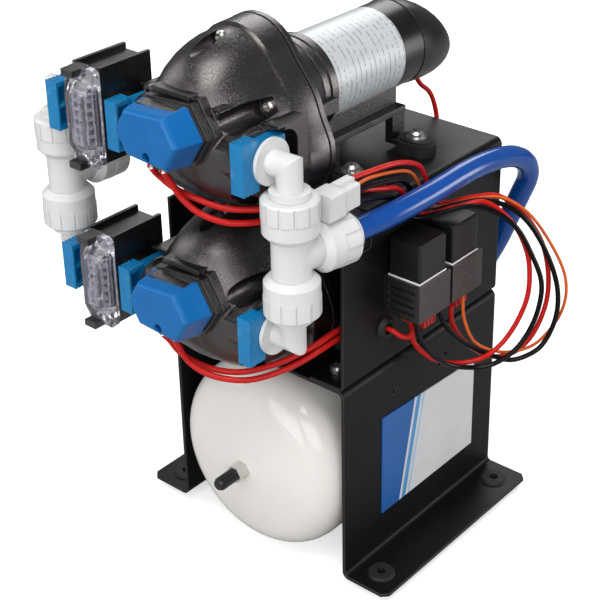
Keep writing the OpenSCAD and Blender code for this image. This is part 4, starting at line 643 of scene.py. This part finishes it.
lay_cord("black_inner_wire", [
    plug + Vector((3, 0, -5)), plug + Vector((2, 12, -9)), (77.1, -50, 281), (77, -38, 276),
    (77, -30.5, 269), (79, -27, 263), (86, -24, 259.5), (96, -8.7, 261), (106, 5.4, 262.5),
    (117, 17, 257), (127, 27, 245), (134, 34, 227), (140, 40, 204), (139, 39, 182), (134, 34, 163),
    (127, 27, 150), (117, 17, 142), (107, 6, 142), (101, -8, 149), (98, -23, 163),
    (96.5, -35, 181), (96, -38, 191), (96, -38, 197),
], wire_radius, "black_wires", harness["black"])
lay_cord("red_inner_wire", [
    plug + Vector((-4, 0, -3)), plug + Vector((-3, 10, -4)), (77.2, -50, 287), (77.1, -36, 282),
    (77, -26.5, 274), (78.2, -21, 265), (86, -17, 259.5), (98, 1.5, 261), (110, 15.8, 262.5),
    (123, 29, 246), (130, 36, 225), (132, 38, 206), (131, 37, 188), (126, 32, 169), (119, 25, 154),
    (110, 16, 145), (98, 4, 143), (90, -11, 151), (86, -25, 167), (86, -29, 181), (86, -29, 188),
], wire_radius, "red_wires", harness["red"])
lay_cord("black_outer_wire", [
    plug + Vector((3, 0, 0)), plug + Vector((1, 14, -2)), (77.2, -45, 290), (77.1, -30, 285),
    (77, -20, 275), (78.2, -14, 265), (86, -10, 259.5), (96, 5.2, 261), (106, 18, 262),
    (117, 29, 257), (126, 38, 247), (134, 46, 230), (141, 53, 207), (144, 56, 187), (143, 55, 168),
    (138, 50, 151), (131, 43, 143), (122, 34, 140), (112, 24, 145.5), (103, 11, 156),
    (96, -3, 173), (93, -10, 190), (93, -10, 197),
], wire_radius, "black_wires", harness["black"])
lay_cord("orange_loop_wire", [
    plug + Vector((3, 0, 4)), plug + Vector((1, 16, 3)), (77.2, -38, 294), (77.1, -22, 288),
    (76.8, -13, 278), (78.2, -7.5, 265), (86, -3.8, 259.5), (97, 12.7, 261), (108, 26, 262),
    (117, 35, 258), (127, 45, 246), (136, 54, 227), (143, 61, 207), (145.5, 63.5, 191),
    (144.5, 62.5, 176), (140, 58, 162), (132, 50, 149), (122, 40, 144), (112, 29, 146),
    (105, 16, 157), (102, 8, 176), (101.7, 6, 189), (101.7, 6, 197),
], thin_radius, "orange_wire", harness["orange"])
lay_cord("red_outer_wire", [
    plug + Vector((-4, 0, 5)), plug + Vector((-3, 14, 5)), (77.3, -36, 299), (77.2, -14, 290),
    (77, -5.5, 279), (78.5, 0, 266), (86, 2.8, 259.5), (97, 18.8, 261), (109, 33, 260),
    (121, 45, 246), (130, 54, 225), (134, 58, 202), (134, 58, 179), (129, 53, 156), (121, 45, 142),
    (111, 35, 138), (103, 26, 143), (97, 14, 156), (94, 5, 173), (94, 4, 188),
], wire_radius, "red_wires", harness["red"])

# The leads: red wires from the switches, one pair to the connector and one into the stand,
# a short one from the bush to the socket, and one that joins the two motors. Each switch lead ends
# in a plated crimp, a strip rolled round the wire with its mouth flared.
side = Vector((70, -103.5, 297.2))  # inner side of the connector, mm
bush = Vector((70, -43, 184))  # inner mouth of the cable bush, mm
lay_cord("upper_near_lead", [
    (-8, -160, 324), (-8, -160, 317), (-9, -153, 308), (-1, -149, 301), (12, -144, 296),
    (28, -135, 291), (44, -120, 290), (57, -109, 294), side + Vector((-6, 0, 3)),
    side + Vector((0, 0, 3)),
], lead_radius, "red_wires", harness["red"])
lay_cord("upper_far_lead", [
    (2, -160, 324), (2, -160, 317), (3, -156, 309), (8, -152, 298), (18, -147, 289),
    (32, -138, 284), (45, -122, 283), (57, -108, 287), side + Vector((-6, 0, -3)),
    side + Vector((0, 0, -3)),
], lead_radius, "red_wires", harness["red"])
lay_cord("lower_near_lead", [
    (-8, -160, 211), (-8, -160, 204), (-9, -154, 196), (-5, -150, 187), (5, -146, 181),
    (18, -141, 178), (32, -133, 178), (45, -122, 182), (56, -111, 188), (64, -98, 194),
    (67, -82, 197), (66, -64, 191), (67, -50, 186.7), bush + Vector((-4, 0, 2.1)),
    bush + Vector((1, 0, 2.1)),
], lead_radius, "red_wires", harness["red"])
lay_cord("lower_far_lead", [
    (2, -160, 211), (2, -160, 204), (2, -157, 197), (6, -154, 187), (15, -150, 180),
    (26, -144, 176.5), (39, -134, 175.5), (51, -120, 179), (60, -106, 184.5), (66, -92, 190),
    (67, -76, 190.5), (65, -60, 184), (66, -50, 181.6), bush + Vector((-4, 0, -2.1)),
    bush + Vector((1, 0, -2.1)),
], lead_radius, "red_wires", harness["red"])
crimp_steps, crimp_gap, crimp_turn = 20, 25, 310  # steps round the wire, and degrees
sheet, lead_front, tier_drop = 0.35, -160, 113  # mm
crimp_stations = ((316.6, 2.75), (317.4, 2.4), (319.6, 2.4), (320.0, 2.6), (320.6, 2.6),
                  (321.0, 2.4), (322.8, 2.4))  # height and radius, mm
crimp_mesh = bmesh.new()
for x, drop in ((-8, 0), (2, 0), (-8, tier_drop), (2, tier_drop)):
    skins = []
    for inset in (0, sheet):
        rows = []
        for z, radius in crimp_stations:
            row = []
            for j in range(crimp_steps + 1):
                turn = math.radians(crimp_gap + crimp_turn * j / crimp_steps)
                spot = (x + (radius - inset) * math.sin(turn),
                        lead_front - (radius - inset) * math.cos(turn), z - drop)
                row.append(crimp_mesh.verts.new(Vector(spot) / 1000))
            rows.append(row)
        skins.append(rows)
    outer, inner = skins
    for rows in skins:
        for a, b in zip(rows, rows[1:]):
            for j in range(crimp_steps):
                crimp_mesh.faces.new((a[j], a[j + 1], b[j + 1], b[j]))
    for row in (0, -1):
        for j in range(crimp_steps):
            crimp_mesh.faces.new((outer[row][j], outer[row][j + 1],
                                  inner[row][j + 1], inner[row][j]))
    for j in (0, -1):
        for k in range(len(crimp_stations) - 1):
            crimp_mesh.faces.new((outer[k][j], outer[k + 1][j], inner[k + 1][j], inner[k][j]))
bmesh.ops.recalc_face_normals(crimp_mesh, faces=crimp_mesh.faces)
crimps = bpy.data.objects.new("switch_crimps", bpy.data.meshes.new("switch_crimps"))
crimp_mesh.to_mesh(crimps.data)
crimps.data.materials.append(zinc_plate)
scene.collection.objects.link(crimps)
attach(crimps, "stand")
lay_cord("bush_lead", [
    (76, -43, 184), (81, -43, 184), (86, -41, 181), (90, -37, 180), (90.5, -32, 185),
    (90.5, -31, 192), (90.5, -31, 197),
], wire_radius, "red_wires", harness["red"])
lay_cord("motor_lead", [
    (12, 72, 306.5), (13, 76, 300.5), (14, 86, 291), (15, 92, 275), (15, 94, 255), (14, 91, 243),
    (13, 86, 234),
], wire_radius, "red_wires", harness["red"])
